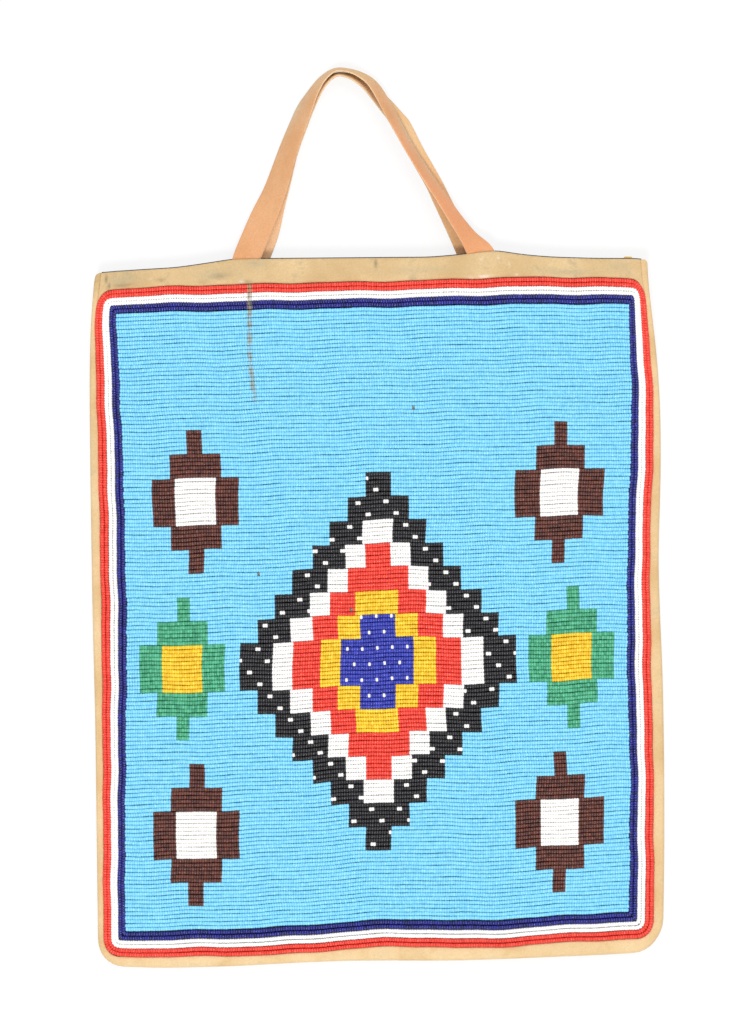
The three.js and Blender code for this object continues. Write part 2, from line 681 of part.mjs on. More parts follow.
// Slider: two plates with side flanges, joined by the post that parts the rows, and a bridge on top
const slider = new THREE.Group();
slider.position.set(sliderRest, -chainDepth, chainZ);
zip.add(slider);
const plateIn = toothHigh / 2 + clearance;
const plateOut = plateIn + sliderPlate;
const sliderHalf = sliderLength / 2;
const sliderSide = sliderWidth / 2;
const join = (...bodies) => bodies.map(solidOf).reduce((whole, body) => whole.add(body));
const flanges = [-1, 1].flatMap((level) =>
  [-1, 1].map((side) => {
    const y = [level * (plateIn - flangeDrop), level * (plateOut - weld / 2)].sort((a, b) => a - b);
    const z = [side * (sliderSide - sliderFlange), side * sliderSide].sort((a, b) => a - b);
    return box(plateCorner - sliderHalf, sliderHalf - plateTaper - flangeShort, ...y, ...z);
  }),
);
function plate(y0, y1) {
  const outline = new THREE.Shape([
    new THREE.Vector2(-sliderHalf, plateCorner - sliderSide),
    new THREE.Vector2(plateCorner - sliderHalf, -sliderSide),
    new THREE.Vector2(sliderHalf - plateTaper, -sliderSide),
    new THREE.Vector2(sliderHalf, plateNose - sliderSide),
    new THREE.Vector2(sliderHalf, sliderSide - plateNose),
    new THREE.Vector2(sliderHalf - plateTaper, sliderSide),
    new THREE.Vector2(plateCorner - sliderHalf, sliderSide),
    new THREE.Vector2(-sliderHalf, sliderSide - plateCorner),
  ]);
  const body = new THREE.ExtrudeGeometry(outline, { depth: y1 - y0, bevelEnabled: false });
  return standing(body, y1);
}
function bridge() {
  const half = bridgeLength / 2;
  const bridgeShoulder = plateOut + bridgeHeight - bridgeRound;
  const outer = new THREE.Shape();
  outer.moveTo(-half, plateOut - weld);
  outer.lineTo(half, plateOut - weld);
  outer.lineTo(half, bridgeShoulder);
  outer.absarc(half - bridgeRound, bridgeShoulder, bridgeRound, 0, Math.PI / 2, false);
  outer.lineTo(bridgeRound - half, plateOut + bridgeHeight);
  outer.absarc(bridgeRound - half, bridgeShoulder, bridgeRound, Math.PI / 2, Math.PI, false);
  outer.closePath();
  const inner = half - bridgeWall;
  const hole = new THREE.Path([
    new THREE.Vector2(-inner, plateOut + bridgeSill),
    new THREE.Vector2(inner, plateOut + bridgeSill),
    new THREE.Vector2(inner, plateOut + bridgeHeight - bridgeWall),
    new THREE.Vector2(-inner, plateOut + bridgeHeight - bridgeWall),
  ]);
  outer.holes.push(hole);
  const shape = { depth: bridgeWidth, bevelEnabled: false, curveSegments: 4 };
  return new THREE.ExtrudeGeometry(outer, shape).translate(0, 0, -bridgeWidth / 2);
}
const postReach = plateIn + weld;
const postEnd = sliderHalf - weld / 2;
const post = box(sliderHalf - postLength, postEnd, -postReach, postReach, -postWidth / 2, postWidth / 2);
const sliderBody = join(plate(plateIn, plateOut), plate(-plateOut, -plateIn), ...flanges, post, bridge());
add(slider, "zip_slider", geometryOf(sliderBody), brass());

// Pull tab: a flat tongue whose eye turns in the bridge
const pivotHigh = plateOut + (bridgeHeight - bridgeWall + bridgeSill) / 2;
const pull = new THREE.Group();
pull.position.set(0, pivotHigh, 0);
pull.rotation.z = THREE.MathUtils.degToRad(tabDroop);
slider.add(pull);
function pullTab() {
  const half = tabWidth / 2;
  const eyeHalf = bridgeWidth / 2 + clearance;
  const outline = new THREE.Shape();
  outline.moveTo(tabPin, -half);
  outline.lineTo(tabPin, half);
  outline.lineTo(half - tabLength, half);
  outline.absarc(half - tabLength, 0, half, Math.PI / 2, 1.5 * Math.PI, false);
  outline.closePath();
  outline.holes.push(
    new THREE.Path([
      new THREE.Vector2(-tabEye, -eyeHalf),
      new THREE.Vector2(-tabPin, -eyeHalf),
      new THREE.Vector2(-tabPin, eyeHalf),
      new THREE.Vector2(-tabEye, eyeHalf),
    ]),
  );
  const tip = new THREE.Path();
  tip.absarc(half - tabLength, 0, tabHole, 0, 2 * Math.PI, false);
  outline.holes.push(tip);
  const shape = { depth: tabThickness, bevelEnabled: false, curveSegments: 5 };
  return standing(new THREE.ExtrudeGeometry(outline, shape), tabThickness / 2);
}
add(pull, "zip_pull_tab", pullTab(), brass());

// Handles: each a strap of soft hide, sewn in flat at its ends and turned on edge at the top.
// A station is [across, above the mouth, width, tilt in degrees, lift], from the mouth's middle.
const frontStations = [
  [-60.2, -3.6, 14.4, 0, 0],
  [-59.7, 1.3, 14.4, 0, 0],
  [-52.0, 19.6, 13.8, 12, 2.6],
  [-45.5, 34.0, 13.2, 32, 1.2],
  [-39.2, 53.2, 12.6, 42, 0.2],
  [-34.1, 66.6, 12.4, 47, 0],
  [-30.9, 74.3, 11.8, 50, 0],
  [-26.7, 82.3, 10, 60, 0],
  [-22.2, 88.5, 9.3, 69, 0],
  [-16.5, 92.4, 9, 76, 0],
  [-10.4, 92.2, 9, 76, 0.2],
  [-4.8, 90.2, 9, 70, 0.6],
  [0.4, 86.7, 9, 62, 1.4],
  [4.8, 80.8, 9, 60, 2.4],
  [10.2, 69.9, 9, 70, 2.8],
  [12.6, 65.2, 9, 68, 2.8],
  [17.9, 53.2, 9, 73, 2.8],
  [26.5, 38.8, 9, 70, 3],
  [33.9, 30.6, 9.5, 58, 3.4],
  [40.2, 21.0, 10, 54, 3.4],
  [46.8, 11.4, 11, 34, 4],
  [52.3, 3.7, 11.5, 0, 0],
  [53.8, -1.8, 11.5, 0, 0],
];
const backStations = [
  [-55.2, -3.8, 14, 0, 0.9],
  [-54.6, 1.3, 14, 0, 0.9],
  [-49.8, 14.8, 13.5, 6, 0.5],
  [-45.9, 26.8, 11.2, 22, 0],
  [-41.3, 39.7, 9.6, 38, 0],
  [-37.6, 53.2, 9, 42, 0],
  [-32.4, 66.6, 8.6, 47, 0],
  [-29.3, 74.0, 8.4, 50, 0],
  [-25.2, 81.5, 8.2, 60, 0],
  [-21.0, 86.9, 8.4, 69, 0],
  [-16.0, 90.2, 9, 75, 0],
  [-10.8, 89.9, 9, 72, 0],
  [-5.9, 87.9, 9, 66, 0],
  [-0.9, 84.3, 9, 58, 0],
  [5.6, 78.0, 9, 40, 0],
  [12.6, 69.5, 9, 22, 0],
  [15.9, 65.2, 9, 16, 0],
  [21.9, 53.2, 9, 12, 0],
  [30.4, 38.8, 9, 12, 0],
  [34.4, 30.6, 9, 12, 0],
  [37.8, 21.0, 9, 10, 0],
  [42.3, 11.4, 9.4, 6, 0.3],
  [46.4, 3.7, 9.8, 0, 0.8],
  [47.4, -2.4, 9.8, 0, 0.9],
];
const footFrontZ = strapFrontLow + strapThickness / 2;
const footBackZ = strapBackHigh - strapThickness / 2;

function strapSections(stations, nested, footZ, highest) {
  const height = ([, y, width, tilt, lift], k) => {
    const angle = THREE.MathUtils.degToRad(tilt);
    const flat = (strapThickness / 2) * Math.cos(angle);
    const lying = layFloor + (width / 2) * Math.sin(angle) + flat + nested * Math.cos(angle) + lift;
    const atFoot = k < 2 || k >= stations.length - 2;
    return atFoot ? footZ : lying;
  };
  const shown = new THREE.CatmullRomCurve3(
    stations.map((station, k) => new THREE.Vector3(station[0], station[1], height(station, k))),
  );
  const shape = new THREE.CatmullRomCurve3(stations.map(([, , w, tilt]) => new THREE.Vector3(w, tilt, 0)));
  const steps = 2 * (stations.length - 1);
  return Array.from({ length: steps + 1 }, (_, k) => {
    const share = k / steps;
    const centre = shown.getPoint(share);
    centre.setZ(Math.min(centre.z, highest));
    const along = shown.getTangent(share).setZ(0).normalize();
    const { x: width, y: tilt } = shape.getPoint(share);
    const angle = THREE.MathUtils.degToRad(Math.max(tilt, 0));
    const outward = new THREE.Vector3(-along.y, along.x, 0);
    const wide = outward.clone().multiplyScalar(Math.cos(angle)).setZ(-Math.sin(angle));
    const thick = outward.clone().multiplyScalar(Math.sin(angle)).setZ(Math.cos(angle));
    const bevel = width / 2 - strapEase;
    const half = strapThickness / 2;
    const corners = [
      [width / 2, 0],
      [bevel, half],
      [-bevel, half],
      [-width / 2, 0],
      [-bevel, -half],
      [bevel, -half],
    ];
    return corners.map(([a, b]) =>
      centre.clone().addScaledVector(wide, a).addScaledVector(thick, b).toArray(),
    );
  });
}

const handles = new THREE.Group();
handles.position.set(mouthMiddle[0], mouthMiddle[1], 0);
pouch.add(handles);
const frontStrap = strapSections(frontStations, strapThickness + strapAir, footFrontZ, footFrontZ);
const backStrap = strapSections(backStations, 0, footBackZ, Infinity);
add(handles, "handle_strap_front", facingOut(loft(frontStrap)), finish(strapColour, 0.85));
add(handles, "handle_strap_back", facingOut(loft(backStrap)), finish(strapColour, 0.85));

// The origin is the middle of the whole, on the surface it lies on
const whole = new THREE.Box3().setFromObject(pouch);
const middle = whole.getCenter(new THREE.Vector3());
pouch.position.set(-middle.x, -middle.y, -whole.min.z);

export default pouch;
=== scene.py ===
import math

import bpy
import numpy as np
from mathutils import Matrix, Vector


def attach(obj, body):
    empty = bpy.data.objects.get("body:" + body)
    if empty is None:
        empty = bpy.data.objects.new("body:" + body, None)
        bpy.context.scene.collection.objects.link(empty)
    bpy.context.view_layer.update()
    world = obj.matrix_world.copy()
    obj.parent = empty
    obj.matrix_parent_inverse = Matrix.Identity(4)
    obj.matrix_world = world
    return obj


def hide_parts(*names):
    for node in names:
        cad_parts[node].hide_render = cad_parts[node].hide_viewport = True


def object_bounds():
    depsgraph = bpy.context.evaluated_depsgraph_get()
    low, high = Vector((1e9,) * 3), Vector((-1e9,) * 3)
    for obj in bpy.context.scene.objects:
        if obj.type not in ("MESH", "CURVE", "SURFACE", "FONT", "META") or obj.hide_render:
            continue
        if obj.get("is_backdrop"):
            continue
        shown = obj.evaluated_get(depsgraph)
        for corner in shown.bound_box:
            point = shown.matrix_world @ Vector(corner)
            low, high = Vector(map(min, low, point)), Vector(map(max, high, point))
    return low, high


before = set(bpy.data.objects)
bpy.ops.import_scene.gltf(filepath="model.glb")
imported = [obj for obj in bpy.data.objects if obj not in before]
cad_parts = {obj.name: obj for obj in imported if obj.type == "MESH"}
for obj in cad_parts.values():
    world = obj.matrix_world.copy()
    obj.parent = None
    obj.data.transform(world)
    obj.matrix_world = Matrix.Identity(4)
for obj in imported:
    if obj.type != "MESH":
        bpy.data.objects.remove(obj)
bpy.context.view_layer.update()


def linear(colour):
    """An sRGB hex colour as linear red, green, blue and alpha."""
    parts = [int(colour[i : i + 2], 16) / 255 for i in (0, 2, 4)]
    return [c / 12.92 if c <= 0.04045 else ((c + 0.055) / 1.055) ** 2.4 for c in parts] + [1.0]


def add(tree, kind, inputs=None, **settings):
    """A node with its settings, and its inputs as values or as links from other sockets."""
    made = tree.nodes.new(kind)
    for key, value in settings.items():
        setattr(made, key, value)
    for key, value in (inputs or {}).items():
        if isinstance(value, bpy.types.NodeSocket):
            tree.links.new(value, made.inputs[key])
        else:
            made.inputs[key].default_value = value
    return made


# The pouch lies a little out of square. A place in the sewn rectangle, across and along in
# millimetres from its middle, goes to the place where it lies. Each seam has its own soft curve.
HALF_W, HALF_H, CORNER = 135.0, 168.0, 13.5
ALONG = np.linspace(-168, 168, 337)
ACROSS = np.linspace(-1, 1, 201)


def soft_curve(steps, places, values, sharpness=14):
    """Values at even steps through some given ones, with the corners rounded off."""
    fine = np.interp(steps, places, values)
    width = len(steps) // sharpness
    kernel = np.hanning(2 * width + 1)
    padded = np.concatenate([np.full(width, fine[0]), fine, np.full(width, fine[-1])])
    return np.convolve(padded, kernel / kernel.sum(), "valid")


SEAMS_ACROSS = [-135, -131.5, -119.8, 118.9, 130.6, 135]
SIDES = [soft_curve(ALONG, [-168, -110, -50, 0, 62, 110, 139, 158, 168],
                    [-133.9, -134.7, -135.4, -136.7, -137.7, -138.2, -137.6, -136.0, -135.0]),
         soft_curve(ALONG, [-168, -87, -10, 67, 143, 157, 168],
                    [-131.0, -131.2, -131.9, -133.3, -135.2, -132.9, -131.4]),
         soft_curve(ALONG, [-168, -87, -10, 67, 143, 168],
                    [-120.4, -120.1, -119.3, -120.8, -124.4, -124.6]),
         soft_curve(ALONG, [-168, -110, -78, -50, -17, 20, 60, 90, 120, 137, 168],
                    [120.9, 121.0, 121.5, 120.1, 119.7, 119.9, 121.0, 122.2, 121.5, 120.9, 119.4]),
         soft_curve(ALONG, [-168, -94, -76, -50, -17, 28, 60, 80, 100, 120, 145, 168],
                    [133.4, 132.9, 133.0, 132.1, 131.6, 131.0, 132.3, 133.2, 132.8, 131.6, 129.0,
                     125.9]),
         soft_curve(ALONG, [-168, -150, -117, -79, -35, -15, 20, 65, 94, 113, 132, 151, 168],
                    [137.8, 138.2, 138.6, 138.5, 137.8, 136.8, 135.6, 136.9, 136.7, 135.6, 133.7,
                     131.0, 129.8])]
SEAMS_ALONG = [-168, -162.7, -151, 145.5, 157.2, 168]
LEVELS = [soft_curve(ACROSS, [-1, -0.85, -0.75, -0.5, -0.3, -0.1, 0.1, 0.25, 0.4, 0.6, 0.82, 1],
                     [-216.0, -216.8, -217.2, -216.3, -214.7, -213.6, -213.6, -213.7, -213.1,
                      -212.0, -210.7, -209.1]),
          soft_curve(ACROSS,
                     [-1, -0.87, -0.7, -0.45, -0.26, -0.1, 0.09, 0.2, 0.35, 0.45, 0.55, 0.7, 0.82,
                      1],
                     [-211.2, -211.5, -211.3, -210.8, -209.7, -207.3, -206.1, -206.6, -207.4,
                      -206.7, -205.3, -204.0, -203.2, -202.5]),
          soft_curve(ACROSS,
                     [-1, -0.87, -0.7, -0.45, -0.26, -0.1, 0.09, 0.2, 0.35, 0.45, 0.6, 0.75, 0.82,
                      1],
                     [-199.1, -199.1, -198.3, -197.4, -196.0, -194.1, -192.8, -193.2, -193.8,
                      -193.0, -191.7, -190.2, -189.9, -189.7]),
          soft_curve(ACROSS, [-1, -0.87, -0.26, 0.09, 0.45, 0.8, 1],
                     [97.4, 97.6, 99.5, 100.5, 101.8, 102.0, 101.6]),
          soft_curve(ACROSS, [-1, -0.87, -0.7, -0.26, 0.09, 0.5, 0.8, 0.93, 1],
                     [108.2, 109.0, 110.2, 111.8, 112.6, 114.6, 114.4, 113.6, 112.6]),
          soft_curve(ACROSS,
                     [-1, -0.88, -0.78, -0.68, -0.57, -0.48, -0.25, 0.07, 0.2, 0.3, 0.43, 0.49,
                      0.56, 0.63, 0.78, 0.95, 1],
                     [116.6, 117.5, 118.4, 119.2, 121.4, 123.4, 123.7, 124.1, 124.2, 125.4, 127.6,
                      126.0, 124.9, 124.2, 123.6, 123.6, 122.9], 28)]


def between(place, seams, values):
    """A value from those at the seams, for a place that lies between two of them."""
    out = values[0] + 0 * place
    for low, high, a, b in zip(seams, seams[1:], values, values[1:]):
        share = np.clip((place - low) / (high - low), 0, 1)
        out = out + share * (b - a)
    return out


def lie(s, t):
    """Where a place in the sewn rectangle lies, with the cloth's small wander between seams."""
    s, t = np.broadcast_arrays(np.asarray(s, float), np.asarray(t, float))
    x = between(s, SEAMS_ACROSS, [np.interp(t, ALONG, side) for side in SIDES])
    y = between(t, SEAMS_ALONG, [np.interp(s / HALF_W, ACROSS, level) for level in LEVELS])
    within = np.clip(np.minimum(HALF_W - np.abs(s), HALF_H - np.abs(t)) / 5, 0, 1)
    x = x + within * (0.2 * np.sin(y / 6.1 + x / 31) + 0.1 * np.sin(y / 3.3 + 1.3))
    y = y + within * (0.24 * np.sin(x / 6.9 + y / 37 + 0.7) + 0.12 * np.sin(x / 3.6 + y / 11))
    return x, y


# The front is crowned: it rises from its closed edges, and stays risen near the mouth
WALL, CROWN_RUN, MOUTH_RUN = 1.4, 50.0, 60
CROWN_LOW, CROWN_RISE, CANVAS_THICK = 2.9, 7.2, 0.9


def rise(distance):
    """How far the crown has risen at a distance in from a closed edge, from 0 to 1."""
    return np.sin(np.pi / 2 * np.clip((distance - WALL) / CROWN_RUN, 0, 1))


def canvas_under(s, t):
    """Height of the front canvas's under side."""
    openness = np.clip((t - (HALF_H - MOUTH_RUN)) / MOUTH_RUN, 0, 1)
    side = rise(HALF_W - np.abs(s))
    return CROWN_LOW + CROWN_RISE * (side + (1 - side) * openness) * rise(t + HALF_H)


def canvas_top(s, t):
    """Height of the front canvas's upper side."""
    return canvas_under(s, t) + CANVAS_THICK


def place(s, t, z):
    """Points in metres, where a place in the sewn rectangle lies, at a height in millimetres."""
    x, y = lie(s, t)
    return np.stack(np.broadcast_arrays(x, y, z), axis=-1) / 1000


def piece(name, points, faces, material, slot, nodes, paint=None):
    """A mesh piece, facing out, that rides on the pouch and stands for the CAD nodes named."""
    mesh = bpy.data.meshes.new(name)
    mesh.from_pydata([tuple(p) for p in points], [], faces)
    for key, values in (paint or {}).items():
        layer = mesh.attributes.new(key, "FLOAT", "POINT")
        layer.data.foreach_set("value", np.asarray(values, np.float32))
    mesh.materials.append(material)
    mesh.polygons.foreach_set("use_smooth", [True] * len(mesh.polygons))
    mesh.update()
    made = bpy.data.objects.new(name, mesh)
    bpy.context.scene.collection.objects.link(made)
    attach(made, "pouch")
    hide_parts(*nodes)
    return made


def slab(s, t, under, upper):
    """A closed sheet over a grid, arrays of row and column, between two heights."""
    rows, columns = s.shape
    points = np.concatenate([place(s, t, under).reshape(-1, 3), place(s, t, upper).reshape(-1, 3)])
    count = rows * columns
    faces = []
    for j in range(rows - 1):
        for i in range(columns - 1):
            a, b = j * columns + i, j * columns + i + 1
            c, d = b + columns, a + columns
            faces.append((a + count, b + count, c + count, d + count))
            faces.append((d, c, b, a))
    rim = list(range(columns))
    rim += [j * columns + columns - 1 for j in range(1, rows)]
    rim += [(rows - 1) * columns + i for i in range(columns - 2, -1, -1)]
    rim += [j * columns for j in range(rows - 2, 0, -1)]
    for a, b in zip(rim, rim[1:] + rim[:1]):
        faces.append((a, b, b + count, a + count))
    return points, faces


# Front canvas. The beads are sewn through a stiff plain-woven cotton canvas, cut to the outline and
# crowned by what the pouch has carried. It shows only between rows and where a bead has gone.
PANEL_INSET, PANEL_TOP = 1.5, 162.5
THREAD = 0.0045


def panel_grid(columns, rows):
    """Places over a panel: close rows and columns near its edges, and rounded lower corners."""
    inset, high = PANEL_INSET, PANEL_TOP
    t = -HALF_H + inset + (high + HALF_H - inset) * np.linspace(0, 1, rows) ** 1.25
    s = (HALF_W - inset) * np.sin(np.pi / 2 * np.linspace(-1, 1, columns))
    radius = CORNER - inset
    drop = np.clip(radius - (t + HALF_H - inset), 0, radius)
    reach = (HALF_W - inset - radius + np.sqrt(radius**2 - drop**2)) / (HALF_W - inset)
    return s[None, :] * reach[:, None], np.repeat(t[:, None], columns, axis=1)


canvas = bpy.data.materials.new("cotton_canvas")
canvas.use_nodes = True
tree = canvas.node_tree
where = add(tree, "ShaderNodeTexCoord").outputs["Object"]
warp = add(tree, "ShaderNodeTexWave", {"Vector": where, "Scale": 1 / THREAD, "Distortion": 0.4},
           bands_direction="X")
weft = add(tree, "ShaderNodeTexWave", {"Vector": where, "Scale": 1 / THREAD, "Distortion": 0.4},
           bands_direction="Y")
weave = add(tree, "ShaderNodeMath", {0: warp.outputs["Fac"], 1: weft.outputs["Fac"]},
            operation="MULTIPLY")
cloth = add(tree, "ShaderNodeMix",
            {"Factor": weave.outputs["Value"], "A": linear("b3ad9c"), "B": linear("e4dcc8")},
            data_type="RGBA")
bump = add(tree, "ShaderNodeBump", {"Height": weave.outputs["Value"], "Distance": 0.0002})
shader = tree.nodes["Principled BSDF"]
tree.links.new(cloth.outputs["Result"], shader.inputs["Base Color"])
tree.links.new(bump.outputs["Normal"], shader.inputs["Normal"])
shader.inputs["Roughness"].default_value = 0.95
s, t = panel_grid(61, 61)
front = piece("front_canvas", *slab(s, t, canvas_under(s, t), canvas_top(s, t)), canvas, "canvas",
              ["front_panel"])


# Back panel. One piece of soft hide, flat on the surface and lifted a little at its seams.
def suede(name, light, dark, smudge, smudged, marks=()):
    """Tanned hide, suede side out: a short soft nap with cloudy tone, rubbed and a little soiled.

    Marks are pairs of a painted value and the colour that it brings, broken up by clouds."""
    material = bpy.data.materials.new(name)
    material.use_nodes = True
    tree = material.node_tree
    shader = tree.nodes["Principled BSDF"]
    where = add(tree, "ShaderNodeTexCoord").outputs["Object"]
    cloud = add(tree, "ShaderNodeTexNoise",
                {"Vector": where, "Scale": 1 / 0.022, "Detail": 4.0, "Roughness": 0.55})
    tone = add(tree, "ShaderNodeMapRange",
               {"Value": cloud.outputs["Fac"], "From Min": 0.34, "From Max": 0.66})
    base = add(tree, "ShaderNodeMix",
               {"Factor": tone.outputs["Result"], "A": linear(dark), "B": linear(light)},
               data_type="RGBA")
    soil = add(tree, "ShaderNodeTexNoise",
               {"Vector": where, "Scale": 1 / 0.011, "Detail": 5.0, "Roughness": 0.7,
                "Distortion": 0.25})
    patches = add(tree, "ShaderNodeMapRange",
                  {"Value": soil.outputs["Fac"], "From Min": 0.56, "From Max": 0.74,
                   "To Max": smudged})
    dirty = add(tree, "ShaderNodeMix",
                {"Factor": patches.outputs["Result"], "A": base.outputs["Result"],
                 "B": linear(smudge)}, data_type="RGBA")
    for key, colour in marks:
        painted = add(tree, "ShaderNodeAttribute", attribute_name=key).outputs["Fac"]
        broken = add(tree, "ShaderNodeMapRange",
                     {"Value": soil.outputs["Fac"], "From Min": 0.3, "From Max": 0.5})
        share = add(tree, "ShaderNodeMath", {0: painted, 1: broken.outputs["Result"]},
                    operation="MULTIPLY")
        dirty = add(tree, "ShaderNodeMix",
                    {"Factor": share.outputs["Value"], "A": dirty.outputs["Result"],
                     "B": linear(colour)}, data_type="RGBA")
    nap = add(tree, "ShaderNodeTexNoise",
              {"Vector": where, "Scale": 1 / 0.0007, "Detail": 3.0, "Roughness": 0.65})
    fleck = add(tree, "ShaderNodeMapRange",
                {"Value": nap.outputs["Fac"], "From Min": 0.3, "From Max": 0.7, "To Min": 0.89,
                 "To Max": 1.07})
    shade = add(tree, "ShaderNodeVectorMath", {0: dirty.outputs["Result"]}, operation="SCALE")
    tree.links.new(fleck.outputs["Result"], shade.inputs["Scale"])
    tree.links.new(shade.outputs["Vector"], shader.inputs["Base Color"])
    waves = add(tree, "ShaderNodeTexNoise", {"Vector": where, "Scale": 1 / 0.006, "Detail": 2.0})
    height = add(tree, "ShaderNodeMath", {0: waves.outputs["Fac"], 1: 3.0, 2: nap.outputs["Fac"]},
                 operation="MULTIPLY_ADD")
    bump = add(tree, "ShaderNodeBump",
               {"Height": height.outputs["Value"], "Distance": 0.00012, "Strength": 0.7})
    tree.links.new(bump.outputs["Normal"], shader.inputs["Normal"])
    shader.inputs["Roughness"].default_value = 0.92
    shader.inputs["Specular IOR Level"].default_value = 0.2
    shader.inputs["Sheen Weight"].default_value = 0.15
    shader.inputs["Sheen Roughness"].default_value = 0.5
    return material


back_hide = suede("back_hide", "e3c79c", "d6b383", "b59a76", 0.5)
HIDE_THICK = 1.1
FLOOR_GAP = 0.05


def back_under(s, t):
    """Height of the back panel's under side, lifted where the binding's fold runs below it."""
    inside = np.minimum(HALF_W - np.abs(s), HALF_H - np.abs(t))
    lift = 1.4 * (1 - np.clip((inside - 8) / 18, 0, 1))
    return lift + FLOOR_GAP


s, t = panel_grid(81, 91)
ripple = 0.12 * (1 + np.sin(s / 17 + t / 29)) * np.sin(np.pi * (t + HALF_H) / (2 * HALF_H)) ** 2
piece("back_hide", *slab(s, t, back_under(s, t), back_under(s, t) + HIDE_THICK + ripple), back_hide,
      "hide", ["back_panel"])


# Side binding. One strip of hide folded over the edge, from the mouth down, round the bottom and up
# again. It was pulled on by hand, so its fold is full and its front edge wanders.
def loft(sections):
    """Points and faces of a closed body through rings of points, an array of ring, point, axis."""
    rings, sides, _ = sections.shape
    faces = []
    for k in range(rings - 1):
        for i in range(sides):
            j = (i + 1) % sides
            faces.append((k * sides + i, k * sides + j, (k + 1) * sides + j, (k + 1) * sides + i))
    faces.append(tuple(reversed(range(sides))))
    faces.append(tuple((rings - 1) * sides + i for i in range(sides)))
    points = sections.reshape(-1, 3)
    volume = 0.0
    for face in faces:
        for b, c in zip(face[1:], face[2:]):
            volume += points[face[0]] @ np.cross(points[b], points[c])
    if volume < 0:
        faces = [tuple(reversed(face)) for face in faces]
    return points, faces


FLANGE_LEFT, FLANGE_LOW, FLANGE_RIGHT = 3.5, 5.3, 4.4
TAB_ROOM, TAB_RUN, TAB_TOP = 2.1, 28, 10.4


def binding_path():
    """Stations of the fold: place, way out, width of the front flange and how far it draws in."""
    down = np.concatenate([HALF_H - np.array([0, 0.3, 0.8, 1.5, 2.4, 3.4]),
                           np.linspace(163, CORNER - HALF_H, 62)])
    turn = np.linspace(0, 1, 9)[1:-1] * np.pi / 2
    across = np.linspace(CORNER - HALF_W, HALF_W - CORNER, 56)

    def drawn_in(t, radius):
        """How far the fold draws in near the mouth, so that its end is rounded."""
        past = max(0, t - HALF_H + radius)
        return radius - math.sqrt(radius**2 - 0.96 * past**2)

    path = [(-HALF_W, t, -1.0, 0.0, FLANGE_LEFT, drawn_in(t, 3.0)) for t in down]
    for a in turn:
        out = (-math.cos(a), -math.sin(a))
        path.append((CORNER - HALF_W + CORNER * out[0], CORNER - HALF_H + CORNER * out[1], *out,
                     FLANGE_LEFT + 1.8 * a / (np.pi / 2) - 0.5 * math.sin(2 * a), 0))
    path += [(s, -HALF_H, 0.0, -1.0, FLANGE_LOW, 0) for s in across]
    for a in turn:
        out = (math.sin(a), -math.cos(a))
        path.append((HALF_W - CORNER + CORNER * out[0], CORNER - HALF_H + CORNER * out[1], *out,
                     FLANGE_LOW - 0.9 * a / (np.pi / 2) - 0.25 * math.sin(2 * a), 0))
    path += [(HALF_W, t, 1.0, 0.0, FLANGE_RIGHT, drawn_in(t, 1.6)) for t in down[::-1]]
    return path


sections, pale, grime = [], [], []
for k, (s0, t0, out_s, out_t, flange, drawn) in enumerate(binding_path()):
    top = lambda inward: float(canvas_top(s0 - inward * out_s, t0 - inward * out_t)) + 0.35
    puff = 0.18 * math.sin(k * 0.9) + 0.12 * math.sin(k * 2.3 + 1)
    high = top(1.2) + 1.15
    middle = high / 2
    fold = [(1.3 - 1.3 * math.sin(a), middle - (middle - 0.03) * math.cos(a))
            for a in np.linspace(0, np.pi, 11)]
    section = [(7.0, 0.03), (4.0, 0.03)] + fold
    section += [(0.5 * (1.3 + flange), top(0.5 * (1.3 + flange)) + 1.15 + puff)]
    section += [(flange - 0.4, top(flange - 0.4) + 1.05), (flange, top(flange) + 0.6)]
    section += [(flange, top(flange)), (1.5, top(1.5)), (1.5, 0.94 * top(1.5)),
                (1.5, 0.9 * top(1.5))]
    section += [(1.5, 1.15), (7.0, 1.15)]
    inward = [d + drawn * (1 - min(d, 3) / 3) for d, _ in section]
    # The under side stops short of the mouth on the left, clear of the tab when the zip is open
    short = TAB_ROOM * float(np.clip((t0 - HALF_H + TAB_RUN) / TAB_RUN, 0, 1)) * (out_s < 0)
    sections.append([place(s0 - d * out_s, t0 - d * out_t - short * (z < TAB_TOP), z)
                     for d, (_, z) in zip(inward, section)])
    # Painted light: the bottom run of the fold is painted lighter, standing in for light that falls
    # on it from the lower side
    pale += [0.3 * float(np.clip(-out_t, 0, 1))] * len(section)
    grime += [0.5 * float(np.clip((t0 - 152) / 8, 0, 1)) * (out_s < 0)] * len(section)
side_hide = suede("side_hide", "e2c598", "d3b17f", "a8977c", 0.4,
                  [("pale", "f0d8ac"), ("grime", "a98f5e")])
piece("side_binding_hide", *loft(np.array(sections)), side_hide, "hide", ["side_binding"],
      {"pale": pale, "grime": grime})


# Bands along the mouth. Hide strips lapped over the top of each panel. The front one is rubbed and
# grey from the hand, with a soft rolled edge at the mouth. Beside the front strap's left foot it
# has a patch of painted shade.
band_hide = suede("band_hide", "d9bd8f", "c9aa7b", "9d8f72", 0.6,
                  [("grime", "7d6f55"), ("dusty", "b3a382"), ("frayed", "f4ece0")])
GRIME = [(-127.4, 164, 0.9, 2.4, 1), (-125.2, 160, 0.9, 2.0, 0.9), (-117, 159.6, 6, 1.3, 0.6),
         (-99, 161, 2.5, 1.2, 0.5), (-71, 161.5, 4.5, 1.2, 0.6), (-79, 159.4, 3, 1, 0.5),
         (1.5, 165.5, 0.8, 2, 0.75), (-59, 158.4, 3, 0.8, 0.5)]
# Grey dust on the band, and at -54 across a spot of painted shade beside the front strap's left
# foot
DUST_AND_SHADE = [(-117, 163, 9, 2.5, 0.7), (-54, 165.5, 7, 2, 0.5), (-74, 163, 12, 3, 0.5),
         (20, 162, 20, 2, 0.4), (90, 160.5, 14, 2, 0.6), (116, 163.5, 7, 3, 0.5)]
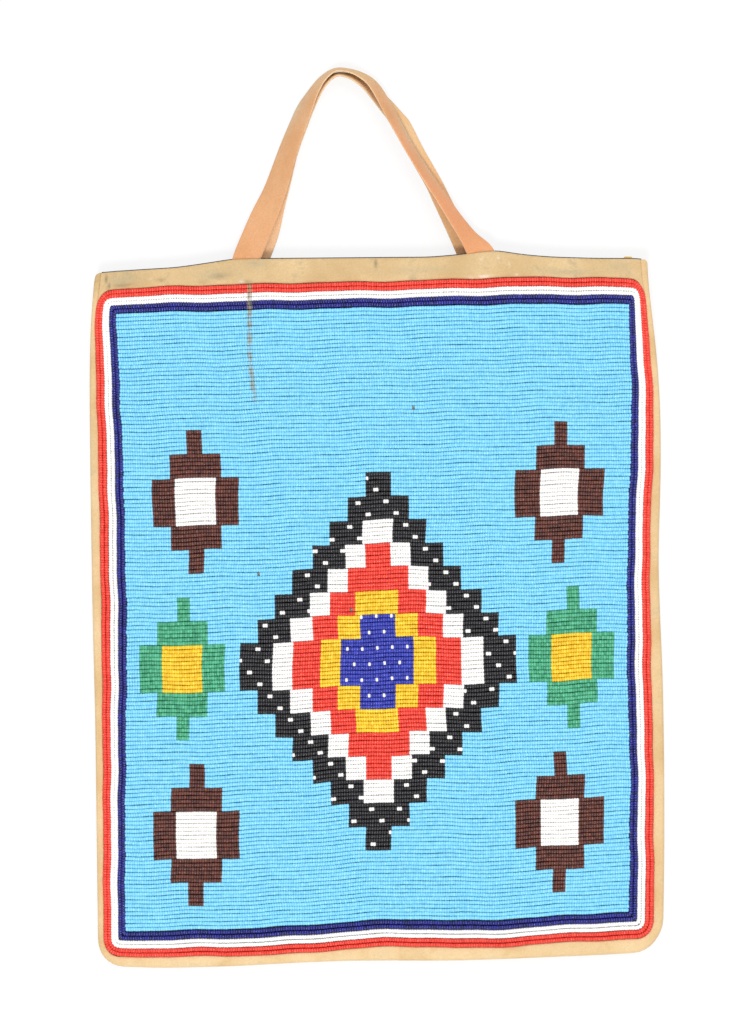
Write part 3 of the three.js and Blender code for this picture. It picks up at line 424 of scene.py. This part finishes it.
FRAYED = [(52, 158.2, 2.6, 0.5, 0.7), (67.5, 158.5, 0.8, 0.4, 0.5), (51, 165, 0.8, 0.3, 0.5),
          (59, 165.2, 0.5, 0.3, 0.5), (64, 163, 0.4, 0.6, 0.5), (46, 158, 1.2, 0.4, 0.7),
          (-61, 158.6, 1.4, 0.5, 0.6), (-104, 162.6, 1.2, 0.4, 0.5)]
# The band's lower edge: the ends of its straight part, its level and the radius at each end
BAND_LEFT, BAND_RIGHT, BAND_LOW, BORDER_CORNER = -123.8, 122.9, 157.4, 7.7
ARC = BORDER_CORNER * np.sin(np.pi / 2 * np.linspace(0, 1, 12))


def spots(marks, s, t):
    """How much of a mark is at a place, from its spots: across, along, two radii and amount."""
    return max(amount * math.exp(-(((s - a) / wide) ** 2) - ((t - b) / high) ** 2)
               for a, b, wide, high, amount in marks)


sections, paint = [], {"grime": [], "dusty": [], "frayed": []}
straight = np.linspace(BAND_LEFT, BAND_RIGHT, 420)
for s0 in np.concatenate([BAND_LEFT - ARC[:0:-1], straight, BAND_RIGHT + ARC[1:]]):
    past = max(0, s0 - BAND_RIGHT, BAND_LEFT - s0)
    low = BAND_LOW - BORDER_CORNER + math.sqrt(max(0, BORDER_CORNER**2 - past**2))
    uneven = 0.14 * math.sin(s0 / 5.1) + 0.1 * math.sin(s0 / 2.3 + 2)
    base = lambda t: float(canvas_top(s0, t)) + 0.3
    section = [(low + 0.1, base(low)), (low, base(low) + 0.55),
               (low + 0.4, base(low) + 1.02 + uneven)]
    section += [(t, base(t) + 1.1 + uneven) for t in np.linspace(low + 1, 166.2, 9)]
    section += [(167.0, base(167) + 1.06), (167.8, base(167.8) + 0.85), (168, base(168) + 0.55)]
    section += [(167.8, base(167.8) + 0.12), (167, base(167)), (162, base(162))]
    sections.append([place(s0, t, z) for t, z in section])
    for key, marks in (("grime", GRIME), ("dusty", DUST_AND_SHADE), ("frayed", FRAYED)):
        paint[key] += [spots(marks, s0, t) for t, _ in section]
piece("front_band_hide", *loft(np.array(sections)), band_hide, "hide", ["top_band_front"], paint)
sections = []
for s0 in np.linspace(-127.7, 127.7, 80):
    section = [(157.6, 0.03), (163, 0.03), (167.7, 0.03), (168, 0.5), (167.7, 1.05), (163, 1.1),
               (157.6, 1.1)]
    sections.append([place(s0, t, z) for t, z in section])
piece("back_band_hide", *loft(np.array(sections)), back_hide, "hide", ["top_band_back"])


# Beadwork. Drawn glass seed beads, opaque and glossy, threaded and couched down in rows across the
# pouch. Each is a little short or long, and the rows wander as the needle did. The border's beads
# are rounder at their ends than the ground's, so they stand apart along the row.
def seed_bead(name, radius, ends):
    """One bead along X, flat below, with ends that are a share of its radius across."""
    half = 0.61
    angles = np.radians([-10, 55, 125, 190])
    rings = [[(x, r * math.cos(a), r * math.sin(a)) for a in angles]
             for x, r in ((-half, ends * radius), (0, radius), (half, ends * radius))]
    points, faces = loft(np.array(rings) / 1000)
    mesh = bpy.data.meshes.new(name)
    mesh.from_pydata([tuple(p) for p in points], [], faces)
    return bpy.data.objects.new(name, mesh)


def bead_rows():
    """Nodes that thread beads along every line of a mesh: one bead for each bead length of line."""
    tree = bpy.data.node_groups.new("bead_rows", "GeometryNodeTree")
    face = tree.interface
    face.new_socket("Geometry", in_out="INPUT", socket_type="NodeSocketGeometry")
    face.new_socket("Bead", in_out="INPUT", socket_type="NodeSocketObject")
    face.new_socket("Bead Length", in_out="INPUT", socket_type="NodeSocketFloat")
    face.new_socket("Gone", in_out="INPUT", socket_type="NodeSocketFloat")
    face.new_socket("Seed", in_out="INPUT", socket_type="NodeSocketInt")
    face.new_socket("Glass", in_out="INPUT", socket_type="NodeSocketMaterial")
    face.new_socket("Geometry", in_out="OUTPUT", socket_type="NodeSocketGeometry")
    given = add(tree, "NodeGroupInput").outputs
    curve = add(tree, "GeometryNodeMeshToCurve", {"Mesh": given["Geometry"]})
    length = add(tree, "GeometryNodeSplineLength")
    share = add(tree, "ShaderNodeMath", {0: length.outputs["Length"], 1: given["Bead Length"]},
                operation="DIVIDE")
    whole = add(tree, "ShaderNodeMath", {0: share.outputs["Value"]}, operation="ROUND")
    count = add(tree, "ShaderNodeMath", {0: whole.outputs["Value"], 1: 1.0}, operation="ADD")
    even = add(tree, "GeometryNodeResampleCurve",
               {"Curve": curve.outputs["Curve"], "Count": count.outputs["Value"]}, mode="COUNT")
    thread = add(tree, "GeometryNodeCurveToMesh", {"Curve": even.outputs["Curve"]})
    ends = add(tree, "GeometryNodeInputMeshEdgeVertices")
    run = add(tree, "ShaderNodeVectorMath",
              {0: ends.outputs["Position 2"], 1: ends.outputs["Position 1"]}, operation="SUBTRACT")
    kept = add(tree, "GeometryNodeStoreNamedAttribute",
               {"Geometry": thread.outputs["Mesh"], "Name": "run", "Value": run.outputs["Vector"]},
               data_type="FLOAT_VECTOR", domain="EDGE")
    points = add(tree, "GeometryNodeMeshToPoints", {"Mesh": kept.outputs["Geometry"]}, mode="EDGES")
    along = add(tree, "GeometryNodeInputNamedAttribute", {"Name": "run"}, data_type="FLOAT_VECTOR")
    turn = add(tree, "FunctionNodeAxesToRotation", {"Primary Axis": along.outputs["Attribute"],
               "Secondary Axis": (0, 0, 1)}, primary_axis="X", secondary_axis="Z")
    size = add(tree, "FunctionNodeRandomValue",
               {"Min": (0.98, 0.98, 0.98), "Max": (1.04, 1.03, 1.03), "Seed": given["Seed"]},
               data_type="FLOAT_VECTOR")
    other = add(tree, "ShaderNodeMath", {0: given["Seed"], 1: 7.0}, operation="ADD")
    slip = add(tree, "FunctionNodeRandomValue",
               {"Min": (-4e-5, -4e-5, -5e-5), "Max": (4e-5, 4e-5, 5e-5),
                "Seed": other.outputs["Value"]}, data_type="FLOAT_VECTOR")
    third = add(tree, "ShaderNodeMath", {0: given["Seed"], 1: 13.0}, operation="ADD")
    left = add(tree, "FunctionNodeRandomValue", {"Seed": third.outputs["Value"]}, data_type="FLOAT")
    stays = add(tree, "FunctionNodeCompare", {0: left.outputs["Value"], 1: given["Gone"]},
                operation="GREATER_THAN")
    moved = add(tree, "GeometryNodeSetPosition", {"Geometry": points.outputs["Points"],
                "Offset": slip.outputs["Value"]})
    shape = add(tree, "GeometryNodeObjectInfo", {"Object": given["Bead"]})
    beads = add(tree, "GeometryNodeInstanceOnPoints", {"Points": moved.outputs["Geometry"],
                "Selection": stays.outputs["Result"], "Instance": shape.outputs["Geometry"],
                "Rotation": turn.outputs["Rotation"], "Scale": size.outputs["Value"]})
    fourth = add(tree, "ShaderNodeMath", {0: given["Seed"], 1: 21.0}, operation="ADD")
    tone = add(tree, "FunctionNodeRandomValue", {"Seed": fourth.outputs["Value"]},
               data_type="FLOAT")
    toned = add(tree, "GeometryNodeStoreNamedAttribute",
                {"Geometry": beads.outputs["Instances"], "Name": "tone",
                 "Value": tone.outputs["Value"]}, data_type="FLOAT", domain="INSTANCE")
    real = add(tree, "GeometryNodeRealizeInstances", {"Geometry": toned.outputs["Geometry"]})
    smooth = add(tree, "GeometryNodeSetShadeSmooth", {"Geometry": real.outputs["Geometry"]})
    glazed = add(tree, "GeometryNodeSetMaterial", {"Geometry": smooth.outputs["Geometry"],
                 "Material": given["Glass"]})
    add(tree, "NodeGroupOutput", {"Geometry": glazed.outputs["Geometry"]})
    return tree


def bead_glass(name, light, dark):
    """Opaque bead glass. No two beads quite match, and a brown run of old damp crosses some."""
    material = bpy.data.materials.new(name)
    material.use_nodes = True
    tree = material.node_tree
    shader = tree.nodes["Principled BSDF"]
    tone = add(tree, "ShaderNodeAttribute", attribute_name="tone").outputs["Fac"]
    base = add(tree, "ShaderNodeMix", {"Factor": tone, "A": linear(dark), "B": linear(light)},
               data_type="RGBA")
    where = add(tree, "ShaderNodeTexCoord").outputs["Object"]
    axes = add(tree, "ShaderNodeSeparateXYZ", {"Vector": where})
    line = add(tree, "ShaderNodeMapRange",
               {"Value": axes.outputs["Y"], "From Min": 0.0556, "From Max": 0.0748,
                "To Min": -0.0583, "To Max": -0.0607})
    off = add(tree, "ShaderNodeMath", {0: axes.outputs["X"], 1: line.outputs["Result"]},
              operation="SUBTRACT")
    aside = add(tree, "ShaderNodeMath", {0: off.outputs["Value"]}, operation="ABSOLUTE")
    near = add(tree, "ShaderNodeMapRange",
               {"Value": aside.outputs["Value"], "From Min": 0.0007, "From Max": 0.0016,
                "To Min": 1.0, "To Max": 0.0})
    low = add(tree, "ShaderNodeMapRange",
              {"Value": axes.outputs["Y"], "From Min": 0.0537, "From Max": 0.0577})
    mottle = add(tree, "ShaderNodeTexNoise", {"Vector": where, "Scale": 1 / 0.0035, "Detail": 2.0})
    patchy = add(tree, "ShaderNodeMapRange",
                 {"Value": mottle.outputs["Fac"], "From Min": 0.36, "From Max": 0.6, "To Min": 0.2,
                  "To Max": 0.75})
    run = add(tree, "ShaderNodeMath", {0: near.outputs["Result"], 1: low.outputs["Result"]},
              operation="MULTIPLY")
    stain = add(tree, "ShaderNodeMath", {0: run.outputs["Value"], 1: patchy.outputs["Result"]},
                operation="MULTIPLY")
    soiled = add(tree, "ShaderNodeMix",
                 {"Factor": stain.outputs["Value"], "A": base.outputs["Result"],
                  "B": linear("9a8f6e")}, data_type="RGBA")
    tree.links.new(soiled.outputs["Result"], shader.inputs["Base Color"])
    shader.inputs["Roughness"].default_value = 0.22
    return material


BEAD_LENGTH = 1.2
GROUND_BEAD = seed_bead("ground_bead", 1.2, 0.86)
BORDER_BEAD = seed_bead("border_bead", 1.33, 0.77)
ROWS = bead_rows()
GLASS = {
    "sky": bead_glass("sky_bead_glass", "8cdbf9", "7ccff3"),
    "red": bead_glass("red_bead_glass", "f24c3c", "e03a2c"),
    "white": bead_glass("white_bead_glass", "fcfbf9", "f4f2ef"),
    "navy": bead_glass("navy_bead_glass", "262a8a", "14175c"),
    "black": bead_glass("black_bead_glass", "232126", "0f0e12"),
    "yellow": bead_glass("yellow_bead_glass", "fbd63a", "e6b81c"),
    "blue": bead_glass("blue_bead_glass", "3c46b8", "262f96"),
    "green": bead_glass("green_bead_glass", "58b98f", "37926c"),
    "brown": bead_glass("brown_bead_glass", "6a372b", "431f1a"),
}


def thread_beads(name, colour, lines, nodes, seed, bead=GROUND_BEAD, gone=0.0001):
    """Lines of beads as one mesh piece. Each line is its points and whether it is closed, and gone
    is the share of beads that have come off."""
    points, edges = [], []
    for line, closed in lines:
        start = len(points)
        points += [tuple(p) for p in line]
        edges += [(start + i, start + i + 1) for i in range(len(line) - 1)]
        if closed:
            edges.append((start + len(line) - 1, start))
    mesh = bpy.data.meshes.new(name + "_lines")
    mesh.from_pydata(points, edges, [])
    made = bpy.data.objects.new(name, mesh)
    bpy.context.scene.collection.objects.link(made)
    live = made.modifiers.new("beads", "NODES")
    live.node_group = ROWS
    values = {"Bead": bead, "Bead Length": BEAD_LENGTH / 1000, "Gone": gone, "Seed": seed,
              "Glass": GLASS[colour]}
    for item in ROWS.interface.items_tree:
        if item.in_out == "INPUT" and item.name in values:
            live[item.identifier] = values[item.name]
    bpy.context.view_layer.update()
    depsgraph = bpy.context.evaluated_depsgraph_get()
    final = bpy.data.meshes.new_from_object(made.evaluated_get(depsgraph), depsgraph=depsgraph)
    made.modifiers.clear()
    made.data = final
    final.name = name
    bpy.data.meshes.remove(mesh)
    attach(made, "pouch")
    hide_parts(*nodes)


# The ground and its bead fields: terraced diamonds, six rows to a terrace. The ground is ribbed,
# three rows to a ridge, and the fields' middle lies a little below the pouch's own
GROUND_LEFT, GROUND_RIGHT = -119.8, 118.9
GROUND_LOW, GROUND_HIGH = -151.0, 145.5
RIDGES, ROWS_IN_RIDGE = 52, 3
RIDGE = (GROUND_HIGH - GROUND_LOW) / RIDGES
ROW = RIDGE / ROWS_IN_RIDGE
ROW_COUNT = RIDGES * ROWS_IN_RIDGE
COLUMNS = round((GROUND_RIGHT - GROUND_LEFT) / BEAD_LENGTH)
CELL = (GROUND_RIGHT - GROUND_LEFT) / COLUMNS
DROP = 26.0
STEP_IN, LEAST_WIDTH = 8.6, 2


def in_diamond(s, t, across, up, half):
    """Whether a place is in the diamond with that middle and half width, two ridges a terrace."""
    middle = GROUND_LOW + RIDGE * round((up - DROP - GROUND_LOW) / RIDGE)
    terrace = int(abs(t - middle + 1e-6) // (2 * RIDGE))
    width = half - STEP_IN * terrace
    return width >= LEAST_WIDTH and abs(s - across) < width


SIDE_RING, SIDE_CORE = 20.5, 9.5
SIDE_FIELDS = [("upper_left", -86, 80, "brown", "white"),
               ("upper_right", 86, 80, "brown", "white"),
               ("middle_left", -93, 0, "green", "yellow"),
               ("middle_right", 93, 0, "green", "yellow"),
               ("lower_left", -86, -80, "brown", "white"),
               ("lower_right", 86, -80, "brown", "white")]
CENTRE_FIELDS = [("black", 66), ("white", 50), ("red", 40.2), ("yellow", 27.4), ("blue", 17.4)]


def design(column, row):
    """The colour of a bead, with sparse white ones in the black ring and the blue core."""
    s = GROUND_LEFT + (column + 0.5) * CELL
    t = GROUND_LOW + (row + 0.5) * ROW
    for _, across, up, ring, core in SIDE_FIELDS:
        if in_diamond(s, t, across, up, SIDE_CORE):
            return core
        if in_diamond(s, t, across, up, SIDE_RING):
            return ring
    inner = [name for name, half in CENTRE_FIELDS if in_diamond(s, t, 0, 0, half)]
    if not inner:
        return "sky"
    colour = inner[-1]
    if colour == "black" and row % 3 == 1 and (column + 4 * (row // 3)) % 11 in (0, 1):
        return "white"
    if colour == "blue" and row % 4 == 1 and (column + 3 * (row // 4)) % 6 == 0:
        return "white"
    return colour


GROUND_LIFT = 1.2
rng = np.random.default_rng(11)
runs = {}
for row in range(ROW_COUNT):
    colours = [design(column, row) for column in range(COLUMNS)]
    phase = rng.uniform(0, 6.28, 3)
    start = 0
    for column in range(1, COLUMNS + 1):
        if column < COLUMNS and colours[column] == colours[start]:
            continue
        a, b = GROUND_LEFT + start * CELL, GROUND_LEFT + column * CELL
        a -= rng.uniform(0.1, 0.6) * (start == 0)
        b += rng.uniform(0.1, 0.6) * (column == COLUMNS)
        s = np.linspace(a, b, max(2, int((b - a) / 4) + 2))
        wander = 0.07 * np.sin(s / 9 + phase[0]) + 0.05 * np.sin(s / 3.7 + phase[1])
        t = GROUND_LOW + (row + 0.5) * ROW + wander
        name = colours[start]
        if name == "sky":
            name = ("sky_lowest", "sky_low", "sky_high", "sky_highest")[row * 4 // ROW_COUNT]
        runs.setdefault(name, []).append((place(s, t, canvas_top(s, t) + GROUND_LIFT), False))
        start = column

for seed, (name, lines) in enumerate(sorted(runs.items())):
    colour = name.split("_")[0]
    nodes = [f"beads_{field}_core" for field, _, _, _, core in SIDE_FIELDS if core == colour]
    nodes += [f"beads_{field}_ring" for field, _, _, ring, _ in SIDE_FIELDS if ring == colour]
    centre = (f"beads_{colour}_ring", f"beads_{colour}_core")
    nodes += [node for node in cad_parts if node.startswith(centre)]
    thread_beads("beads_" + name + "_glass", colour, lines, nodes or ["beads_sky_ground"],
                 100 + seed)


# Border. Three bands, each two rows wide, that run right round: red outside, then white, then navy.
BAND_DEPTH, BORDER_LIFT, BORDER_ROW = 10.8, 1.25, 1.9


def border_line(inset):
    """One row of the border, at its distance in from the edges of the binding and the band."""
    left, right = FLANGE_LEFT + inset - HALF_W, HALF_W - FLANGE_RIGHT - inset
    low, high = FLANGE_LOW + inset - HALF_H, HALF_H - BAND_DEPTH - inset
    radius = max(BORDER_CORNER - inset, 0.3)
    line = []
    for cx, cy, start in ((left + radius, low + radius, np.pi),
                          (right - radius, low + radius, 1.5 * np.pi),
                          (right - radius, high - radius, 0),
                          (left + radius, high - radius, 0.5 * np.pi)):
        line += [(cx + radius * math.cos(start + a), cy + radius * math.sin(start + a))
                 for a in np.linspace(0, np.pi / 2, 5)]
    dense = []
    for (sa, ta), (sb, tb) in zip(line, line[1:] + line[:1]):
        steps = max(1, int(math.hypot(sb - sa, tb - ta) / 4))
        dense += [(sa + (sb - sa) * k / steps, ta + (tb - ta) * k / steps) for k in range(steps)]
    s, t = np.array(dense).T
    return place(s, t, canvas_top(s, t) + BORDER_LIFT)


for order, colour in enumerate(("red", "white", "navy")):
    lines = [(border_line(BORDER_ROW * (2 * order + row + 0.5)), True) for row in (0, 1)]
    thread_beads(f"border_{colour}_glass", colour, lines, [f"border_{colour}"], 300 + order,
                 BORDER_BEAD, 0.0)


# Handles. Two straps of soft buff hide, each sewn in at the mouth, laid over each other and turned
# on edge at the top. Each station is across, above the mouth, width, tilt in degrees and lift.
MOUTH = (-3.36, 122.37)
FRONT = [(-59.5, -3.6, 13.0, 0, 0), (-59.0, 1.3, 13.0, 0, 0), (-51.7, 19.6, 13.2, 12, 2.6),
         (-45.5, 34.0, 13.2, 32, 1.2), (-39.2, 53.2, 12.6, 42, 0.2), (-34.1, 66.6, 12.4, 47, 0),
         (-30.9, 74.3, 11.8, 50, 0), (-26.7, 82.3, 10, 60, 0), (-22.2, 88.5, 9.3, 69, 0),
         (-16.5, 92.4, 9, 76, 0), (-10.4, 92.2, 9, 76, 0.2), (-4.8, 90.2, 9, 70, 0.6),
         (0.4, 86.7, 9, 62, 1.4), (4.8, 80.8, 9, 56, 2.4), (10.7, 69.9, 9, 54, 2.8),
         (13.3, 65.2, 9, 55, 2.8), (19.9, 53.2, 9, 58, 2.8), (29.0, 38.8, 9, 55, 3),
         (34.7, 30.6, 9.5, 52, 3.4), (41.0, 21.0, 10, 48, 3.4), (47.8, 11.4, 10.4, 34, 4),
         (53.4, 3.7, 12.6, 0, 0), (55.8, -1.8, 12.8, 0, 0)]
BACK = [(-56.0, -3.8, 14, 0, 0.9), (-55.4, 1.3, 14, 0, 0.9), (-50.2, 14.8, 13.5, 6, 0.5),
        (-45.9, 26.8, 11.2, 22, 0), (-41.3, 39.7, 9.6, 38, 0), (-37.6, 53.2, 9, 42, 0),
        (-32.4, 66.6, 8.6, 47, 0), (-29.3, 74.0, 8.4, 50, 0), (-25.2, 81.5, 8.2, 60, 0),
        (-21.0, 86.9, 8.4, 69, 0), (-16.0, 90.2, 9, 75, 0), (-10.8, 89.9, 9, 72, 0),
        (-5.9, 87.9, 9, 66, 0), (-0.9, 84.3, 9, 58, 0), (5.6, 78.0, 9, 40, 0),
        (13.0, 69.5, 8.4, 22, 0), (16.3, 65.2, 8.4, 16, 0), (22.4, 53.2, 8.4, 12, 0),
        (30.6, 38.8, 8.4, 12, 0), (34.6, 30.6, 8.8, 12, 0), (39.2, 21.0, 9, 10, 0),
        (43.8, 11.4, 9.4, 6, 0.3), (47.2, 3.7, 9.8, 0, 0.8), (48.0, -2.4, 9.8, 0, 0.9)]
STRAP_THICK, STRAP_RINGS = 1.3, 170
FRONT_FOOT, BACK_FOOT = 10.35, 2.05


def through(stations, steps):
    """Values on a smooth curve through a list of stations."""
    rows = np.array(stations, float)
    ends = np.vstack([2 * rows[0] - rows[1], rows, 2 * rows[-1] - rows[-2]])
    out = []
    for k in np.linspace(0, len(rows) - 1, steps):
        i = min(int(k), len(rows) - 2)
        f = k - i
        p0, p1, p2, p3 = ends[i : i + 4]
        out.append(0.5 * (2 * p1 + (p2 - p0) * f + (2 * p0 - 5 * p1 + 4 * p2 - p3) * f**2
                          + (3 * p1 - p0 - 3 * p2 + p3) * f**3))
    return np.array(out)


def strap(stations, nested, foot, highest, marks):
    """A strap through its stations, and its paint from marks, which are spots by station and side.

    It lies over one of the nested thickness, its feet lie at foot, and no part is above highest."""
    rows = []
    for k, (x, y, width, tilt, lift) in enumerate(stations):
        a = math.radians(tilt)
        lying = 0.2 + width / 2 * math.sin(a) + (STRAP_THICK / 2 + nested) * math.cos(a) + lift
        rows.append((x, y, foot if k < 2 or k >= len(stations) - 2 else lying, width, max(tilt, 0)))
    values = through(rows, STRAP_RINGS)
    along = np.gradient(values[:, :2], axis=0)
    along /= np.linalg.norm(along, axis=1)[:, None]
    sections, paint = [], {key: [] for key in marks}
    paint["rim"] = []
    for k, ((x, y, z, width, tilt), (dx, dy)) in enumerate(zip(values, along)):
        a = math.radians(max(tilt, 0))
        wide = np.array([-dy * math.cos(a), dx * math.cos(a), -math.sin(a)])
        thick = np.array([-dy * math.sin(a), dx * math.sin(a), math.cos(a)])
        centre = np.array([x + MOUTH[0], y + MOUTH[1], min(z, highest)])
        ring = []
        for q in np.linspace(0, 2 * np.pi, 22, endpoint=False):
            e = math.copysign(abs(math.cos(q)) ** 0.4, math.cos(q))
            h = math.copysign(abs(math.sin(q)) ** 0.7, math.sin(q))
            ring.append((centre + wide * e * width / 2 + thick * h * STRAP_THICK / 2) / 1000)
            paint["rim"].append(0.8 * (abs(h) < 0.3))
            for key, places in marks.items():
                station = k / (STRAP_RINGS - 1) * (len(stations) - 1)
                paint[key].append(spots(places, station, e))
        sections.append(ring)
    return *loft(np.array(sections)), paint


TINTS = [("khaki", "dbb888"), ("orange", "e2996a"), ("grey", "cbb899"), ("rim", "ecd9bb")]
strap_front = suede("front_strap_hide", "dcaa7e", "d09867", "c9ab86", 0.5, TINTS)
strap_back = suede("back_strap_hide", "ecc096", "dcae7c", "c7ab88", 0.5, TINTS)
WORN = {"khaki": [(10, 0, 2.4, 9, 0.95)],
        "orange": [(18.5, 0, 4.2, 9, 0.85), (0.5, 0, 2.0, 9, 0.3)],
        "grey": [(6, 1, 1.6, 0.7, 0.9), (8.5, 1, 1.2, 0.6, 0.7), (15.6, 1, 2.2, 0.5, 0.95),
                 (13, 1, 1, 0.5, 0.5)]}
*shape, paint = strap(FRONT, STRAP_THICK + 0.5, FRONT_FOOT, FRONT_FOOT, WORN)
piece("front_strap_hide", *shape, strap_front, "strap_hide", ["handle_strap_front"], paint)
WORN = {"khaki": [(11, 0, 2.6, 9, 0.9), (16.5, 0, 3.5, 9, 0.7)], "orange": [(18, 0, 1, 9, 0.3)],
        "grey": [(16, -1, 2.5, 0.6, 0.8)]}
*shape, paint = strap(BACK, 0, BACK_FOOT, math.inf, WORN)
piece("back_strap_hide", *shape, strap_back, "strap_hide", ["handle_strap_back"], paint)


# Zip. Dark woven tapes and worn brass teeth, stops, slider and tab, as the CAD model has them.
tape = bpy.data.materials.new("zip_tape_cotton")
tape.use_nodes = True
tree = tape.node_tree
where = add(tree, "ShaderNodeTexCoord").outputs["Object"]
ribs = add(tree, "ShaderNodeTexWave", {"Vector": where, "Scale": 1 / 0.004, "Distortion": 0.6},
           bands_direction="DIAGONAL")
cotton = add(tree, "ShaderNodeMix",
             {"Factor": ribs.outputs["Fac"], "A": linear("23283a"), "B": linear("464e66")},
             data_type="RGBA")
bump = add(tree, "ShaderNodeBump", {"Height": ribs.outputs["Fac"], "Distance": 0.0001})
shader = tree.nodes["Principled BSDF"]
tree.links.new(cotton.outputs["Result"], shader.inputs["Base Color"])
tree.links.new(bump.outputs["Normal"], shader.inputs["Normal"])
shader.inputs["Roughness"].default_value = 0.9

brass = bpy.data.materials.new("worn_brass")
brass.use_nodes = True
tree = brass.node_tree
where = add(tree, "ShaderNodeTexCoord").outputs["Object"]
wear = add(tree, "ShaderNodeTexNoise", {"Vector": where, "Scale": 1 / 0.0025, "Detail": 4.0})
metal = add(tree, "ShaderNodeMix",
            {"Factor": wear.outputs["Fac"], "A": linear("a5813c"), "B": linear("e2c071")},
            data_type="RGBA")
rough = add(tree, "ShaderNodeMapRange",
            {"Value": wear.outputs["Fac"], "From Min": 0.3, "From Max": 0.7, "To Min": 0.25,
             "To Max": 0.5})
shader = tree.nodes["Principled BSDF"]
tree.links.new(metal.outputs["Result"], shader.inputs["Base Color"])
tree.links.new(rough.outputs["Result"], shader.inputs["Roughness"])
shader.inputs["Metallic"].default_value = 1.0
for name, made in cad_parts.items():
    if name.startswith("zip_") and "tape" not in name:
        made.data.materials.clear()
        made.data.materials.append(brass)
CHAIN_SLOPE, CHAIN_DROP = 0.02467, 5
for side, face, node in ((1, 9.4, "zip_tape_front"), (-1, 3.0, "zip_tape_back")):
    sections = []
    for s0 in np.linspace(-131.4, 131.4, 140):
        x, y = (float(v) for v in lie(s0, HALF_H))
        chain = MOUTH[1] + CHAIN_SLOPE * (x - MOUTH[0]) - CHAIN_DROP
        section = [(y + 0.55, face), (y + 0.55, face - 0.4 * side),
                   (chain + 0.2, face - 0.4 * side)]
        section += [(chain + 0.2, face - 1.1 * side), (chain - 0.2, face - 1.1 * side),
                    (chain - 0.2, face)]
        sections.append([(x / 1000, b / 1000, z / 1000) for b, z in section])
    piece(node + "_cotton", *loft(np.array(sections)), tape, "zip_tape", [node])


# Surface, light and camera. A pale floor, two soft lamps above it and white all round. The camera
# looks straight down through a long lens, and its picture is as tall as the photograph's.
floor_paint = bpy.data.materials.new("white_floor")
floor_paint.use_nodes = True
tree = floor_paint.node_tree
tree.nodes.clear()
ray = add(tree, "ShaderNodeLightPath").outputs
matte = add(tree, "ShaderNodeBsdfDiffuse", {"Color": (0.9, 0.9, 0.9, 1)})
white = add(tree, "ShaderNodeEmission", {"Color": (1, 1, 1, 1), "Strength": 1.0})
seen = add(tree, "ShaderNodeMath", {0: ray["Is Camera Ray"], 1: 0.8}, operation="MULTIPLY")
mixed = add(tree, "ShaderNodeMixShader", {0: seen.outputs["Value"], 1: matte.outputs["BSDF"],
            2: white.outputs["Emission"]})
below = add(tree, "ShaderNodeNewGeometry").outputs["Backfacing"]
clear = add(tree, "ShaderNodeBsdfTransparent")
shown = add(tree, "ShaderNodeMixShader",
            {0: below, 1: mixed.outputs["Shader"], 2: clear.outputs["BSDF"]})
add(tree, "ShaderNodeOutputMaterial", {"Surface": shown.outputs["Shader"]})
mesh = bpy.data.meshes.new("floor")
mesh.from_pydata([(-4, -4, -0.0003), (4, -4, -0.0003), (4, 4, -0.0003), (-4, 4, -0.0003)], [],
                 [(0, 1, 2, 3)])
mesh.materials.append(floor_paint)
floor = bpy.data.objects.new("floor", mesh)
bpy.context.scene.collection.objects.link(floor)
floor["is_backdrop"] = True

world = bpy.data.worlds.new("white_room")
bpy.context.scene.world = world
world.use_nodes = True
tree = world.node_tree
tree.nodes.clear()
ray = add(tree, "ShaderNodeLightPath").outputs
direct = add(tree, "ShaderNodeMath", {0: ray["Is Camera Ray"], 1: ray["Is Glossy Ray"]},
             operation="MAXIMUM")
seen = add(tree, "ShaderNodeMath", {0: direct.outputs["Value"], 1: ray["Is Transmission Ray"]},
           operation="MAXIMUM")
level = add(tree, "ShaderNodeMapRange",
            {"Value": seen.outputs["Value"], "To Min": 0.66, "To Max": 1.0})
sky = add(tree, "ShaderNodeBackground",
          {"Color": (1, 1, 1, 1), "Strength": level.outputs["Result"]})
add(tree, "ShaderNodeOutputWorld", {"Surface": sky.outputs["Background"]})

for name, where, size, power in (("key", (-0.3, -1.15, 2.5), 0.6, 35.5),
                                 ("fill", (0.4, 1.2, 2.0), 1.2, 16.0)):
    lamp = bpy.data.lights.new(name, "AREA")
    lamp.size = size
    lamp.energy = power
    made = bpy.data.objects.new(name, lamp)
    made.location = where
    made.rotation_mode = "QUATERNION"
    made.rotation_quaternion = (Vector((0, 0, 0)) - Vector(where)).to_track_quat("-Z", "Y")
    bpy.context.scene.collection.objects.link(made)

PICTURE_HEIGHT = 0.4915
lens = bpy.data.cameras.new("camera")
lens.lens = 135
lens.sensor_fit = "VERTICAL"
lens.sensor_height = 36
camera = bpy.data.objects.new("camera", lens)
camera.location = (0.00072, 0.0023, 0.008 + PICTURE_HEIGHT * lens.lens / lens.sensor_height)
bpy.context.scene.collection.objects.link(camera)
bpy.context.scene.camera = camera
bpy.context.scene.view_settings.view_transform = "Standard"

bpy.context.view_layer.update()
low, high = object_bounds()
